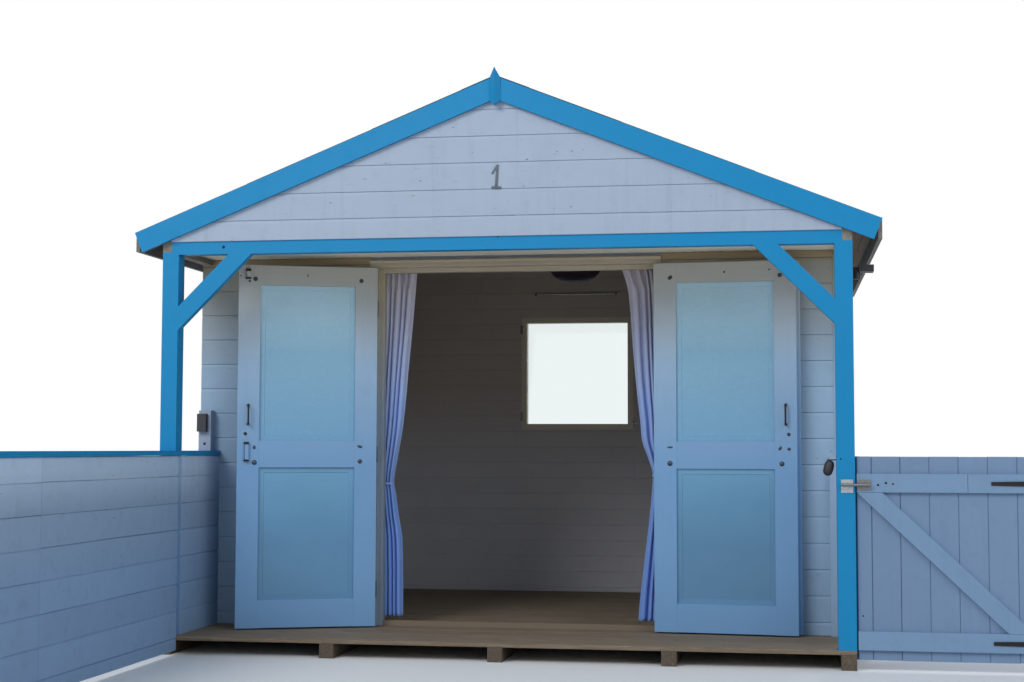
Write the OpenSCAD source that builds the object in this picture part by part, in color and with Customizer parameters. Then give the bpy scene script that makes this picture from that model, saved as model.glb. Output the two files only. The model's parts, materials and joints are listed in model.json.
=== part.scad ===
// Beach hut with a shallow porch, a pair of outward doors, a low side fence and a boarded side gate.
// Millimetres. The origin is on the ground under the middle of the room, X runs to the right
// seen from the front, Y runs to the back and Z runs up.

/* [Hut body] */
// Width over the outer faces of the side walls and of the porch posts
hut_w = 3590; // [3000:10:4300]
// Depth of the room from the front wall's face to the back wall's face
room_d = 2440; // [1800:10:3600]
// Thickness of a boarded wall with its studs
wall_t = 60; // [40:1:120]
// Height of the underside of the side plates above the ground
eaves_z = 2114; // [2000:1:2400]
// Width of a side plate
plate_w = 50; // [38:1:100]

/* [Floor] */
// Height of the bearers on the ground
bearer_h = 75; // [50:5:150]
// Width of a bearer
bearer_w = 75; // [50:5:150]
// Number of bearers
bearer_count = 5; // [3:2:9]
// Thickness of the floor boards
floor_t = 22; // [18:1:35]

/* [Porch] */
// Depth of the porch from the front wall's face to the front faces of the posts
porch_d = 642; // [450:1:1500]
// Side of a square porch post
post_w = 88; // [60:1:150]
// Height of the front beam's underside above the ground
beam_z = 2100; // [1950:1:2300]
// Height of the front beam's section
beam_h = 67; // [50:1:150]
// Thickness of the front beam from front to back
beam_t = 70; // [38:1:120]
// Width of a knee brace across its run
brace_w = 88; // [60:1:120]
// Thickness of a knee brace from front to back
brace_t = 45; // [30:1:88]
// Distance of a knee brace's long edge down the post and along the beam
brace_run = 400; // [250:10:600]
// Height of the porch soffit's underside above the ground
soffit_z = 2145; // [2120:1:2160]
// Thickness of the porch soffit's boards
soffit_t = 12; // [9:1:20]
// Thickness of the boarded front gable
gable_t = 40; // [20:1:80]

/* [Roof] */
// Slope of the roof in degrees
pitch = 21.87; // [15:0.1:35]
// Height of the roof boards' underside over a side wall's outer face
wall_roof_z = 2254.1102; // [2200:0.0001:2400]
// Overhang of the eaves past the side walls, without the fascia
eaves_over = 125; // [60:5:250]
// Overhang of the roof boards past the front gable
verge_front = 12; // [5:1:100]
// Overhang of the roof boards past the back wall
verge_back = 40; // [5:1:100]
// Thickness of the roof boards
roof_t = 18; // [12:1:25]
// Thickness of the roof felt
felt_t = 4; // [2:0.5:8]
// Width of a rafter
rafter_w = 45; // [30:1:60]
// Depth of a rafter
rafter_h = 75; // [50:1:120]
// Number of rafter pairs over the room
rafter_count = 4; // [2:1:8]
// Thickness of the ridge board
ridge_t = 25; // [18:1:45]
// Depth of the ridge board
ridge_h = 125; // [100:5:200]
// Width of a bargeboard
barge_w = 110; // [80:1:180]
// Thickness of a bargeboard
barge_t = 22; // [15:1:35]
// Height of an eaves fascia
fascia_h = 98; // [60:1:150]
// Thickness of an eaves fascia
fascia_t = 20; // [12:1:30]
// Width of the finial
finial_w = 66; // [30:1:90]
// Height of the finial from tip to tip
finial_h = 198; // [150:1:300]
// Height of the finial's upper point above the ridge
finial_up = 42; // [20:1:100]
// Depth of the finial from front to back
finial_d = 30; // [15:1:50]

/* [Doorway] */
// Sideways offset of the doorway's middle from the hut's middle
door_off = -9; // [-200:1:200]
// Distance of each hinge pin from the doorway's middle
pin_half = 775; // [600:1:900]
// Cover of the left stop over its leaf's hinge edge
stop_left = 30; // [8:1:60]
// Cover of the right stop over its leaf's hinge edge
stop_right = 9; // [8:1:60]
// Thickness of a jamb outside its rebate
jamb_t = 32; // [20:1:50]
// Depth of the door frame from front to back
jamb_d = 95; // [80:1:150]
// Cover of the frame's head over the leaves' tops
head_cover = 17; // [8:1:40]
// Height of the board that makes the frame's head
head_board = 52; // [40:1:400]
// Height of the sill above the floor
sill_h = 28; // [15:1:60]
// Clear gap round a closed leaf
leaf_gap = 6; // [5:1:10]
// Projection of the drip cap
cap_out = 40; // [20:1:80]
// Height of the drip cap
cap_h = 48; // [30:1:60]

/* [Doors] */
// Width of a leaf
leaf_w = 762; // [550:1:860]
// Height of a leaf
leaf_h = 1974; // [1750:1:2050]
// Thickness of a leaf
leaf_t = 44; // [35:1:60]
// Gap under a leaf above the floor
leaf_lift = 8; // [5:1:20]
// Angle that the left leaf stands open in degrees
left_open = 159; // [0:1:177]
// Angle that the right leaf stands open in degrees
right_open = 174.7; // [0:0.1:178]
// Width of the hinge stile
hinge_stile = 123; // [90:1:160]
// Width of the closing stile
close_stile = 119; // [90:1:160]
// Height of the top rail
top_rail = 109; // [80:1:160]
// Height of the middle rail
mid_rail = 146; // [80:1:220]
// Height of the bottom rail
bottom_rail = 150; // [80:1:260]
// Height of the middle rail's underside above the leaf's foot
mid_z = 867; // [600:1:1000]
// Thickness of a door panel
panel_t = 12; // [6:1:20]
// Depth of the groove that holds a panel
groove = 10; // [6:1:15]
// Width of the cover bead on the right leaf
bead_w = 40; // [30:1:60]
// Thickness of the cover bead
bead_t = 12; // [8:1:20]
// Height of a butt hinge
butt_h = 90; // [60:5:125]
// Radius of a hinge knuckle
knuckle_r = 6; // [5:0.5:9]
// Radius of a hinge pin
butt_pin_r = 2.5; // [2:0.5:4]
// Thickness of a hinge plate
butt_t = 2.4; // [2:0.1:4]
// Number of knuckles of a butt hinge
knuckle_count = 5; // [3:2:7]
// Running clearance round a pin
pin_fit = 0.08; // [0.02:0.01:0.1]

/* [Curtains] */
// Thickness of a gathered curtain
curtain_t = 60; // [40:1:90]
// Radius of the curtain rail
rail_r = 9; // [6:1:15]
// Distance of the curtain rail behind the door frame
rail_back = 38; // [30:1:60]
// Height of the curtain's hem above the floor
hem_up = 45; // [20:5:200]

/* [Window and lamp] */
// Width of the window over its frame
win_w = 776; // [500:1:1000]
// Height of the window over its frame
win_h = 774; // [500:1:1000]
// Height of the window's foot above the ground
win_z = 1213; // [900:1:1400]
// Sideways place of the window's middle
win_x = 47; // [-400:1:400]
// Width of the window frame's members
win_frame = 36; // [28:1:90]
// Thickness of the glass
glass_t = 4; // [3:1:8]
// Length of the rod over the window
rod_l = 594; // [400:1:900]
// Height of the rod above the ground
rod_z = 2147; // [2050:1:2200]
// Radius of the lamp's bowl
lamp_r = 165; // [100:1:220]
// Height of the lamp's lowest point
lamp_z = 2137; // [2070:1:2250]
// Sideways place of the lamp
lamp_x = 142; // [-300:1:300]

/* [Side fence] */
// Height of the fence over its cap
fence_top = 1063; // [800:1:1300]
// Thickness of the fence cap
cap_t = 25; // [15:1:40]
// Width of the fence cap
fence_cap_w = 116; // [90:1:160]
// Thickness of the fence's boarding
fence_t = 18; // [12:1:30]
// Distance between fence posts
fence_bay = 1650; // [1200:10:2400]
// Number of whole bays in front of the porch post
bay_count = 2; // [1:1:5]
// Gap under the fence boards above the ground
fence_lift = 25; // [10:5:100]

/* [Side gate] */
// Width of the gate
gate_w = 1049; // [800:1:1300]
// Height of the gate's top above the ground
gate_top = 1044; // [800:1:1300]
// Gap under the gate
gate_lift = 50; // [30:5:120]
// Gap between the gate and the hut's post and between the gate and its own post
gate_gap = 8; // [6:1:20]
// Thickness of the gate's boards
gate_board_t = 22; // [15:1:30]
// Height of a ledge
ledge_h = 92; // [60:1:120]
// Thickness of a ledge
ledge_t = 22; // [15:1:35]
// Height of the top ledge's upper edge above the ground
ledge_z = 959; // [700:1:1000]
// Height of the bottom ledge's upper edge above the ground
low_ledge_z = 192; // [150:1:300]
// Horizontal width of the gate's brace
gate_brace = 122; // [80:1:160]
// Distance of the brace's foot from the gate's hinge edge
gate_brace_foot = 216; // [150:1:400]
// Length of a strap hinge
strap_l = 415; // [250:1:600]
// Height of a strap at its eye
strap_h = 34; // [25:1:50]
// Thickness of a strap
strap_t = 6; // [4:0.5:8]
// Radius of a gate pin
gate_pin_r = 6; // [5:0.5:9]
// Radius of the strap's eye
eye_r = 12; // [9:0.5:16]
// Radius of the latch bar
latch_r = 7; // [5:0.5:9]

/* [Hidden] */
$fn = 48;
hw = hut_w / 2;
front_y = -room_d / 2;
back_y = room_d / 2;
post_y = front_y - porch_d;
floor_z = bearer_h + floor_t;
eave_x = hw + eaves_over;
barge_x = eave_x + fascia_t;
roof_y0 = post_y - verge_front;
roof_y1 = back_y + verge_back;
roof_v = roof_t / cos(pitch);
felt_v = felt_t / cos(pitch);
rafter_v = rafter_h / cos(pitch);
apex_z = wall_roof_z + roof_v + hw * tan(pitch);
in_x = hw - plate_w;
// Clearance of what seats on a slope
seat_gap = 0.02;
// Overrun of a shape that cuts right through
over = 1;
bearer_in = bearer_w / 2;
// Height of the roof boards' top over a sideways distance from the ridge
function roof_z(x) = apex_z - abs(x) * tan(pitch);
// Height of the roof boards' underside over a sideways distance from the ridge
function under_z(x) = roof_z(x) - roof_v;
// Height of what seats against that underside
function seat_z(x) = under_z(x) - seat_gap;

// Doorway
hinge_in = 2;
hinge_out = 4;
rebate_half = pin_half + hinge_out;
left_stop = pin_half - hinge_in - stop_left;
right_stop = pin_half - hinge_in - stop_right;
frame_half = rebate_half + jamb_t;
rebate_d = leaf_t + leaf_gap;
leaf_z = floor_z + leaf_lift;
leaf_top = leaf_z + leaf_h;
head_z = leaf_top - head_cover;
frame_top = head_z + head_board;
rebate_z = leaf_top + leaf_gap;
cap_z = rebate_z;
cap_nose = 12;
cap_drip = 5;
butt_low = 195;
butt_mid = 74;
butt_high = 223;
butt_zs = [leaf_z + butt_low, leaf_z + mid_z + butt_mid, leaf_top - butt_high];
butt_set = 1;
knuckle_h = butt_h / knuckle_count;
knuckle_gap = 0.3;
butt_depth = 36;
leaf_ends = [leaf_z, leaf_z + mid_z, leaf_z + mid_z + mid_rail, leaf_top];

// Door fittings, measured from the pin and the leaf's foot
handle_x = 706;
handle_z = mid_z + 288;
handle_l = 102;
handle_out = 32;
handle_r = 5;
lock_x = 720;
lock_z = mid_z + 184;
lock_r = 9;
lock_t = 3;
bolt_x = 714;
mid_bolt_l = 103;
top_bolt_l = 54;
bolt_clear = 5;
bolt_r = 6;
bolt_plate_w = 24;
bolt_plate_t = 3;
top_bolt_z = head_z - leaf_z - bolt_clear - top_bolt_l;
mid_bolt_z = mid_z + 35;
handle_foot = 8;
bead_short = 1;
bolt_sink = 1;

// Curtains
rail_y = front_y + jamb_d + rail_back;
rail_z = head_z + 34;
rail_half = frame_half + 40;
rail_arm = 10;
hang_gap = 0.4;
hem_z = floor_z + hem_up;
curtain_top = rail_z - rail_r - hang_gap;
curtain_past = 20;
curtain_bow = 80;
// Distances of a curtain's inner edge from the doorway's middle at its top, tie and hem, and the tie's height
left_edges = [left_stop - 155, left_stop - 32, left_stop - 92, floor_z + 814];
right_edges = [right_stop - 179, right_stop - 12, right_stop - 103, floor_z + 863];

// Window, rod and lamp
in_back = back_y - wall_t;
win_lip = 8;
win_rebate = 12;
rod_r = 6;
rod_out = 45;
rod_x = 51;
lamp_y = front_y + wall_t + (room_d - 2 * wall_t) * (2 + 0.5) / rafter_count;
lamp_h = 105;
lamp_rim = 8;
stem_r = 8;
rose_r = 45;
rose_h = 18;

// Finial: its narrowing towards the top, and the heights of its upper and lower points
finial_taper = 0.82;
finial_cut = 50;
finial_low = 32;

// Fence
fence_x = -hw + post_w;
board_top = fence_top - cap_t;
post_c = post_y + post_w / 2;
cap_over = 5;
cap_x0 = fence_x - post_w - cap_over;
fence_ends = [for (i = [1 : bay_count]) post_c - i * fence_bay];

// Gate
gate_x0 = hw + gate_gap;
gate_x1 = gate_x0 + gate_w;
gate_post_x = gate_x1 + gate_gap;
gate_pin_x = gate_x1 + gate_gap / 2;
gate_pin_y = post_y - strap_t - 8;
board_y = post_y + ledge_t;
strap_zs = [low_ledge_z - ledge_h / 2, ledge_z - ledge_h / 2];
hook_w = 60;
hook_h = 84;
hook_lug = 14;
eye_gap = 1;
latch_z = ledge_z - ledge_h / 2 - 9;
latch_y = post_y - 22;
latch_x0 = hw - 68;
latch_x1 = gate_x0 + 62;
latch_half = 26;
latch_edge = 6;
latch_stay = 20;
catch_drop = 6;
catch_edge = 10;
plate_t = 4;

// Short post at the fence's end, with a box on its front
stub_w = 70;
stub_d = 74;
stub_x = -hw + 4;
stub_top = 1288;
stub_hole_r = 8;
stub_hole_z = 38;
box_w = 52;
box_d = 32;
box_h = 100;
box_z = 1169;

// Outdoor light on the right wall
light_y = front_y + 56;
light_z = 2045;
light_w = 78;
light_d = 96;
light_h = 36;
light_x = 62;
light_plate_h = 110;
light_plate_w = 70;
light_plate_t = 12;
light_arm_h = 18;
sensor_r = 19;
sensor_h = 46;

// Padlock on its hook
pad_w = 42;
pad_h = 30;
pad_t = 20;
ring_r = 11;
ring_in = 7;
ring_x = 6;
hook_z = 1026;
hook_r = 3;
hook_out = 44;

// A block between two corners
module block(lo, hi) {
  translate(lo) cube(hi - lo);
}

// A block whose sideways extent is turned round on a right-hand piece
module hand_block(lo, hi) {
  x = $hand > 0 ? [lo[0], hi[0]] : [-hi[0], -lo[0]];
  block([x[0], lo[1], lo[2]], [x[1], hi[1], hi[2]]);
}

// A profile drawn in X and Z and run from y0 to y1
module along_y(y0, y1) {
  translate([0, y1, 0]) rotate([90, 0, 0]) linear_extrude(y1 - y0) children();
}

// The same thing on both sides of the hut's middle
module both_sides() {
  children();
  mirror([1, 0, 0]) children();
}

// Bearers on the ground, run from front to back
module floor_bearers() {
  pitch_x = (hut_w - bearer_w) / (bearer_count - 1);
  color([0.35, 0.30, 0.25])
    for (i = [0 : bearer_count - 1])
      translate([-hw + bearer_in + i * pitch_x, 0, 0])
        block([-bearer_in, post_y, 0], [bearer_in, back_y, bearer_h]);
}

// Floor of the room and of the porch
module floor_boards() {
  color([0.55, 0.50, 0.44]) block([-hw, post_y, bearer_h], [hw, back_y, floor_z]);
}

// Front wall beside the doorway, from x0 to x1
module front_side(x0, x1) {
  block([x0, front_y, floor_z], [x1, front_y + wall_t, eaves_z]);
}

module front_wall_sides() {
  color([0.86, 0.88, 0.90]) {
    front_side(-hw, door_off - frame_half);
    front_side(door_off + frame_half, hw);
  }
}

// Outline of a gable between the plates, from a level up to the roof boards
module gable_shape(z0) {
  polygon([[-in_x, z0], [in_x, z0], [in_x, seat_z(in_x)], [0, seat_z(0)], [-in_x, seat_z(in_x)]]);
}

// Front wall over the doorway, down to the door frame's head
module front_wall_head() {
  color([0.86, 0.88, 0.90])
    along_y(front_y, front_y + wall_t)
      difference() {
        union() {
          gable_shape(eaves_z);
          if (frame_top < eaves_z)
            translate([door_off - frame_half, frame_top]) square([2 * frame_half, eaves_z - frame_top]);
        }
        if (frame_top > eaves_z)
          translate([door_off - frame_half, floor_z]) square([2 * frame_half, frame_top - floor_z]);
      }
}

// Back wall with its gable and the window's hole
module back_wall() {
  color([0.86, 0.88, 0.90])
    along_y(in_back, back_y)
      difference() {
        union() {
          translate([-hw, floor_z]) square([hut_w, eaves_z - floor_z]);
          gable_shape(eaves_z);
        }
        translate([win_x - win_w / 2 + win_lip, win_z + win_lip])
          square([win_w - 2 * win_lip, win_h - 2 * win_lip]);
      }
}

module side_walls() {
  color([0.86, 0.88, 0.90])
    both_sides() block([-hw, front_y + wall_t, floor_z], [-hw + wall_t, in_back, eaves_z]);
}

// Plates along the tops of the side walls and over the porch, bevelled to the roof
module side_plates() {
  color([0.55, 0.54, 0.52])
    both_sides()
      along_y(post_y, back_y)
        polygon([[in_x, eaves_z], [hw, eaves_z], [hw, seat_z(hw)], [in_x, seat_z(in_x)]]);
}

// One rafter on the right side
module rafter(y) {
  along_y(y - rafter_w / 2, y + rafter_w / 2)
    polygon([
      [ridge_t / 2, seat_z(ridge_t / 2)],
      [in_x, seat_z(in_x)],
      [in_x, seat_z(in_x) - rafter_v],
      [ridge_t / 2, seat_z(ridge_t / 2) - rafter_v]
    ]);
}

module ridge_board(y0, y1) {
  half = ridge_t / 2;
  along_y(y0, y1)
    polygon([
      [-half, seat_z(half)], [0, seat_z(0)], [half, seat_z(half)],
      [half, seat_z(half) - ridge_h], [-half, seat_z(half) - ridge_h]
    ]);
}

// Ridge board over the porch and over the room
module ridge_boards() {
  color([0.80, 0.76, 0.68]) {
    ridge_board(post_y + gable_t, front_y);
    ridge_board(front_y + wall_t, in_back);
  }
}

// Rafters of the right slope: one over the porch, the others spread over the room
module rafter_row() {
  room_y0 = front_y + wall_t;
  step = (in_back - room_y0) / rafter_count;
  rafter((post_y + gable_t + front_y) / 2);
  for (i = [0 : rafter_count - 1])
    rafter(room_y0 + (i + 0.5) * step);
}

module rafters_left() {
  color([0.80, 0.76, 0.68]) mirror([1, 0, 0]) rafter_row();
}

module rafters_right() {
  color([0.80, 0.76, 0.68]) rafter_row();
}

// Roof boards of the right slope
module roof_slope() {
  along_y(roof_y0, roof_y1)
    polygon([[0, roof_z(0)], [eave_x, roof_z(eave_x)], [eave_x, under_z(eave_x)], [0, under_z(0)]]);
}

module roof_left() {
  color([0.72, 0.66, 0.58]) mirror([1, 0, 0]) roof_slope();
}

module roof_right() {
  color([0.72, 0.66, 0.58]) roof_slope();
}

// Felt over both slopes
module roof_felt() {
  edge_z = roof_z(barge_x) + seat_gap;
  color([0.22, 0.23, 0.24])
    along_y(roof_y0, roof_y1)
      polygon([
        [-barge_x, edge_z], [0, apex_z + seat_gap], [barge_x, edge_z],
        [barge_x, edge_z + felt_v], [0, apex_z + seat_gap + felt_v], [-barge_x, edge_z + felt_v]
      ]);
}

// One bargeboard on the right, square to the slope at its foot and plumb at the ridge
module barge(y0, y1) {
  foot = [barge_x, roof_z(barge_x)];
  along_y(y0, y1)
    polygon([
      [0, apex_z], foot, foot - barge_w * [sin(pitch), cos(pitch)], [0, apex_z - barge_w / cos(pitch)]
    ]);
}

module bargeboards() {
  color([0.17, 0.55, 0.78])
    both_sides() {
      barge(roof_y0 - barge_t, roof_y0);
      barge(roof_y1, roof_y1 + barge_t);
    }
}

// Fascia boards along the eaves
module eaves_fascias() {
  top = roof_z(barge_x);
  color([0.62, 0.63, 0.64])
    both_sides() block([eave_x, roof_y0, top - fascia_h], [barge_x, roof_y1, top]);
}

// Finial of a bar set on its corner, pointed at both ends
module finial() {
  tip = apex_z + finial_up;
  foot = tip - finial_h;
  front = roof_y0 - barge_t;
  half = finial_w / 2;
  neck = half * finial_taper;
  color([0.17, 0.55, 0.78])
    intersection() {
      along_y(front - finial_d, front)
        polygon([
          [0, foot], [half, foot + finial_low], [neck, tip - finial_cut], [0, tip],
          [-neck, tip - finial_cut], [-half, foot + finial_low]
        ]);
      linear_extrude(tip) polygon([[-half, front], [0, front - finial_d], [half, front]]);
    }
}

// One porch post on the right, rebated for the beam, with the plate on its outer part
module porch_post() {
  block([hw - post_w, post_y, floor_z], [hw, post_y + post_w, beam_z]);
  block([in_x, post_y, beam_z], [hw, post_y + post_w, eaves_z]);
}

module porch_posts() {
  color([0.17, 0.55, 0.78]) both_sides() porch_post();
}

module porch_beam() {
  color([0.17, 0.55, 0.78]) block([-in_x, post_y, beam_z], [in_x, post_y + beam_t, beam_z + beam_h]);
}

// Knee braces between posts and beam
module porch_braces() {
  inner = hw - post_w;
  cut = brace_w * sqrt(2);
  color([0.17, 0.55, 0.78])
    both_sides()
      along_y(post_y, post_y + brace_t)
        polygon([
          [inner, beam_z - brace_run], [inner, beam_z - brace_run + cut],
          [inner - brace_run + cut, beam_z], [inner - brace_run, beam_z]
        ]);
}

module front_gable() {
  color([0.86, 0.88, 0.90]) along_y(post_y, post_y + gable_t) gable_shape(beam_z + beam_h);
}

module porch_soffit() {
  color([0.86, 0.86, 0.84])
    block([-in_x, post_y + beam_t, soffit_z], [in_x, front_y, soffit_z + soffit_t]);
}

// Rebated frame of the doorway
module door_frame() {
  color([0.88, 0.89, 0.90])
    difference() {
      block([door_off - frame_half, front_y, floor_z], [door_off + frame_half, front_y + jamb_d, frame_top]);
      block([door_off - left_stop, front_y - over, floor_z - over],
            [door_off + right_stop, front_y + jamb_d + over, head_z]);
      block([door_off - rebate_half, front_y - over, floor_z - over],
            [door_off + rebate_half, front_y + rebate_d, rebate_z]);
    }
}

module door_sill() {
  color([0.60, 0.55, 0.48])
    block([door_off - left_stop, front_y + rebate_d, floor_z],
          [door_off + right_stop, front_y + jamb_d, floor_z + sill_h]);
}

// Moulded drip cap over the doorway, with a groove under its nose
module drip_cap() {
  color([0.85, 0.85, 0.83])
    translate([door_off - frame_half, front_y, cap_z])
      rotate([90, 0, 90])
        linear_extrude(2 * frame_half)
          polygon([
            [0, 0], [-cap_out / 2, 0], [-cap_out / 2, cap_h / 3], [-cap_out + cap_nose, cap_h / 3],
            [-cap_out + cap_nose, cap_h / 3 + cap_drip], [-cap_out, cap_h / 3 + cap_drip],
            [-cap_out, cap_h - cap_nose], [0, cap_h]
          ]);
}

// Knuckles of one hinge, every other one from the first
module knuckles(first, r_in) {
  for (i = [first : 2 : knuckle_count - 1])
    translate([0, 0, i * knuckle_h + knuckle_gap / 2])
      difference() {
        cylinder(r = knuckle_r, h = knuckle_h - knuckle_gap);
        if (r_in > 0)
          translate([0, 0, -over]) cylinder(r = r_in, h = knuckle_h + 2 * over);
      }
}

// Frame half of a butt hinge about its pin, for a leaf that closes to +X
module frame_hinge() {
  plate_x = pin_half - rebate_half;
  knuckles(0, 0);
  cylinder(r = butt_pin_r, h = butt_h);
  for (i = [0 : 2 : knuckle_count - 1])
    hand_block([plate_x, 0, i * knuckle_h + knuckle_gap / 2],
          [plate_x + butt_t, knuckle_r + butt_set, (i + 1) * knuckle_h - knuckle_gap / 2]);
  hand_block([plate_x, knuckle_r + butt_set, 0], [plate_x + butt_t, knuckle_r + butt_depth, butt_h]);
}

// Leaf half of a butt hinge about its pin
module leaf_hinge() {
  knuckles(1, butt_pin_r + pin_fit);
  for (i = [1 : 2 : knuckle_count - 1])
    difference() {
      hand_block([hinge_in - butt_t, 0, i * knuckle_h + knuckle_gap / 2],
            [hinge_in, knuckle_r + butt_set, (i + 1) * knuckle_h - knuckle_gap / 2]);
      cylinder(r = butt_pin_r + pin_fit, h = butt_h);
    }
  hand_block([hinge_in - butt_t, knuckle_r + butt_set, 0], [hinge_in, knuckle_r + butt_depth, butt_h]);
}

// Places a thing about the left pin at the given opening angle
module at_left_pin(angle) {
  $hand = 1;
  translate([door_off - pin_half, front_y - knuckle_r, 0]) rotate([0, 0, -angle]) children();
}

// Places a thing about the right pin at the given opening angle
module at_right_pin(angle) {
  $hand = -1;
  translate([door_off + pin_half, front_y - knuckle_r, 0]) rotate([0, 0, angle]) children();
}

// Hook plates with pins on the gate post
module gate_pin_plates() {
  lug_z = -strap_h / 2 - eye_gap;
  for (z = strap_zs)
    translate([0, 0, z]) {
      block([gate_pin_x + eye_r + eye_gap, post_y - strap_t, -hook_h / 2 - hook_lug],
            [gate_post_x + hook_w, post_y, hook_h / 2 - hook_lug]);
      translate([gate_pin_x, gate_pin_y, lug_z - hook_lug])
        cylinder(r = eye_r, h = hook_lug);
      block([gate_pin_x, gate_pin_y - gate_pin_r, lug_z - hook_lug],
            [gate_post_x + hook_w / 2, post_y - strap_t, lug_z]);
      translate([gate_pin_x, gate_pin_y, lug_z - hook_lug / 2])
        cylinder(r = gate_pin_r, h = strap_h + hook_lug);
    }
}

module hinge_pins() {
  color([0.20, 0.20, 0.21]) {
    for (z = butt_zs) {
      at_left_pin(0) translate([0, 0, z - butt_h / 2]) frame_hinge();
      at_right_pin(0) translate([0, 0, z - butt_h / 2]) frame_hinge();
    }
    gate_pin_plates();
  }
}

// A panel's opening between the stiles, from z0 to z1, grown by a margin
module panel_hole(z0, z1, grow, y0, y1) {
  hand_block([hinge_in + hinge_stile - grow, y0, z0 - grow],
        [hinge_in + leaf_w - close_stile + grow, y1, z1 + grow]);
}

// Framed leaf about its pin, with grooves for the two panels
module door_leaf() {
  y0 = knuckle_r;
  y1 = knuckle_r + leaf_t;
  mid = (y0 + y1) / 2;
  z = [leaf_ends[0] + bottom_rail, leaf_ends[1], leaf_ends[2], leaf_ends[3] - top_rail];
  difference() {
    hand_block([hinge_in, y0, leaf_z], [hinge_in + leaf_w, y1, leaf_top]);
    for (i = [0, 2]) {
      panel_hole(z[i], z[i + 1], 0, y0 - 1, y1 + 1);
      panel_hole(z[i], z[i + 1], groove, mid - panel_t / 2, mid + panel_t / 2);
    }
  }
}

// Two panels of a leaf about its pin
module door_panels() {
  mid = knuckle_r + leaf_t / 2;
  z = [leaf_ends[0] + bottom_rail, leaf_ends[1], leaf_ends[2], leaf_ends[3] - top_rail];
  for (i = [0, 2])
    panel_hole(z[i], z[i + 1], groove, mid - panel_t / 2, mid + panel_t / 2);
}

// Bow handle on the inner face, bent from a round bar
module bow_handle() {
  inner = knuckle_r + leaf_t;
  translate([$hand * handle_x, inner, leaf_z + handle_z]) {
    for (s = [-1, 1])
      translate([0, 0, s * handle_l / 2])
        rotate([-90, 0, 0]) {
          cylinder(r = handle_r, h = handle_out);
          cylinder(r = handle_foot, h = lock_t);
        }
    translate([0, handle_out - handle_r, -handle_l / 2]) cylinder(r = handle_r, h = handle_l);
  }
}

// Escutcheon on both faces
module lock_plates() {
  for (y = [knuckle_r - lock_t, knuckle_r + leaf_t])
    translate([$hand * lock_x, y, leaf_z + lock_z]) rotate([-90, 0, 0]) cylinder(r = lock_r, h = lock_t);
}

// Surface bolt on the inner face, from height z0, of a length
module surface_bolt(z0, bolt_l) {
  inner = knuckle_r + leaf_t;
  translate([$hand * bolt_x, inner, leaf_z + z0]) {
    hand_block([-bolt_plate_w / 2, 0, 0], [bolt_plate_w / 2, bolt_plate_t, bolt_l]);
    translate([0, bolt_plate_t + bolt_r - bolt_sink, 0]) cylinder(r = bolt_r, h = bolt_l);
  }
}

module leaf_hinges() {
  for (z = butt_zs)
    translate([0, 0, z - butt_h / 2]) leaf_hinge();
}

module left_door_leaf() {
  color([0.86, 0.89, 0.91]) at_left_pin(left_open) door_leaf();
}

module left_door_panels() {
  color([0.55, 0.72, 0.80]) at_left_pin(left_open) door_panels();
}

module left_door_fittings() {
  color([0.16, 0.16, 0.17])
    at_left_pin(left_open) {
      leaf_hinges();
      bow_handle();
      lock_plates();
      surface_bolt(top_bolt_z, top_bolt_l);
      surface_bolt(mid_bolt_z, mid_bolt_l);
    }
}

// Cover bead on the outer face of the right leaf, past its closing edge
module cover_bead() {
  past = pin_half - hinge_in - leaf_w + leaf_gap - bead_short;
  hand_block([hinge_in + leaf_w + past - bead_w, knuckle_r - bead_t, leaf_z],
        [hinge_in + leaf_w + past, knuckle_r, leaf_top]);
}

module right_door_leaf() {
  color([0.86, 0.89, 0.91])
    at_right_pin(right_open) {
      door_leaf();
      cover_bead();
    }
}

module right_door_panels() {
  color([0.55, 0.72, 0.80]) at_right_pin(right_open) door_panels();
}

module right_door_fittings() {
  color([0.16, 0.16, 0.17])
    at_right_pin(right_open) {
      leaf_hinges();
      bow_handle();
      lock_plates();
    }
}

// Rail behind the door's head, on arms from the wall
module curtain_rail() {
  translate([door_off - rail_half, rail_y, rail_z])
    rotate([0, 90, 0]) cylinder(r = rail_r, h = 2 * rail_half);
  for (x = [-rail_half + rail_arm, rail_half - rail_arm])
    block([door_off + x - rail_arm / 2, front_y + wall_t, rail_z - rail_r],
          [door_off + x + rail_arm / 2, rail_y, rail_z + rail_r]);
}

// Thin rod over the window on two arms
module window_rod() {
  translate([rod_x, in_back - rod_out, rod_z]) {
    translate([-rod_l / 2, 0, 0]) rotate([0, 90, 0]) cylinder(r = rod_r, h = rod_l);
    for (s = [-1, 1])
      translate([s * (rod_l / 2 - rod_r), 0, 0]) rotate([-90, 0, 0]) cylinder(r = rod_r, h = rod_out);
  }
}

module rods() {
  color([0.45, 0.40, 0.38]) {
    curtain_rail();
    window_rod();
  }
}

// A gathered curtain that narrows at its tie, drawn from the doorway's middle line outwards
module curtain(edges) {
  out = frame_half + curtain_past;
  tie_z = edges[3];
  bow_z = (curtain_top + tie_z) / 2 + curtain_bow;
  along_y(rail_y - curtain_t / 2, rail_y + curtain_t / 2)
    polygon([
      [edges[0], curtain_top], [out, curtain_top], [out, hem_z], [edges[2], hem_z],
      [edges[2], (hem_z + tie_z) / 2], [edges[1], tie_z], [(edges[0] + edges[1]) / 2, bow_z]
    ]);
}

module curtain_left() {
  color([0.80, 0.80, 0.90]) translate([door_off, 0, 0]) mirror([1, 0, 0]) curtain(left_edges);
}

module curtain_right() {
  color([0.80, 0.80, 0.90]) translate([door_off, 0, 0]) curtain(right_edges);
}

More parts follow.
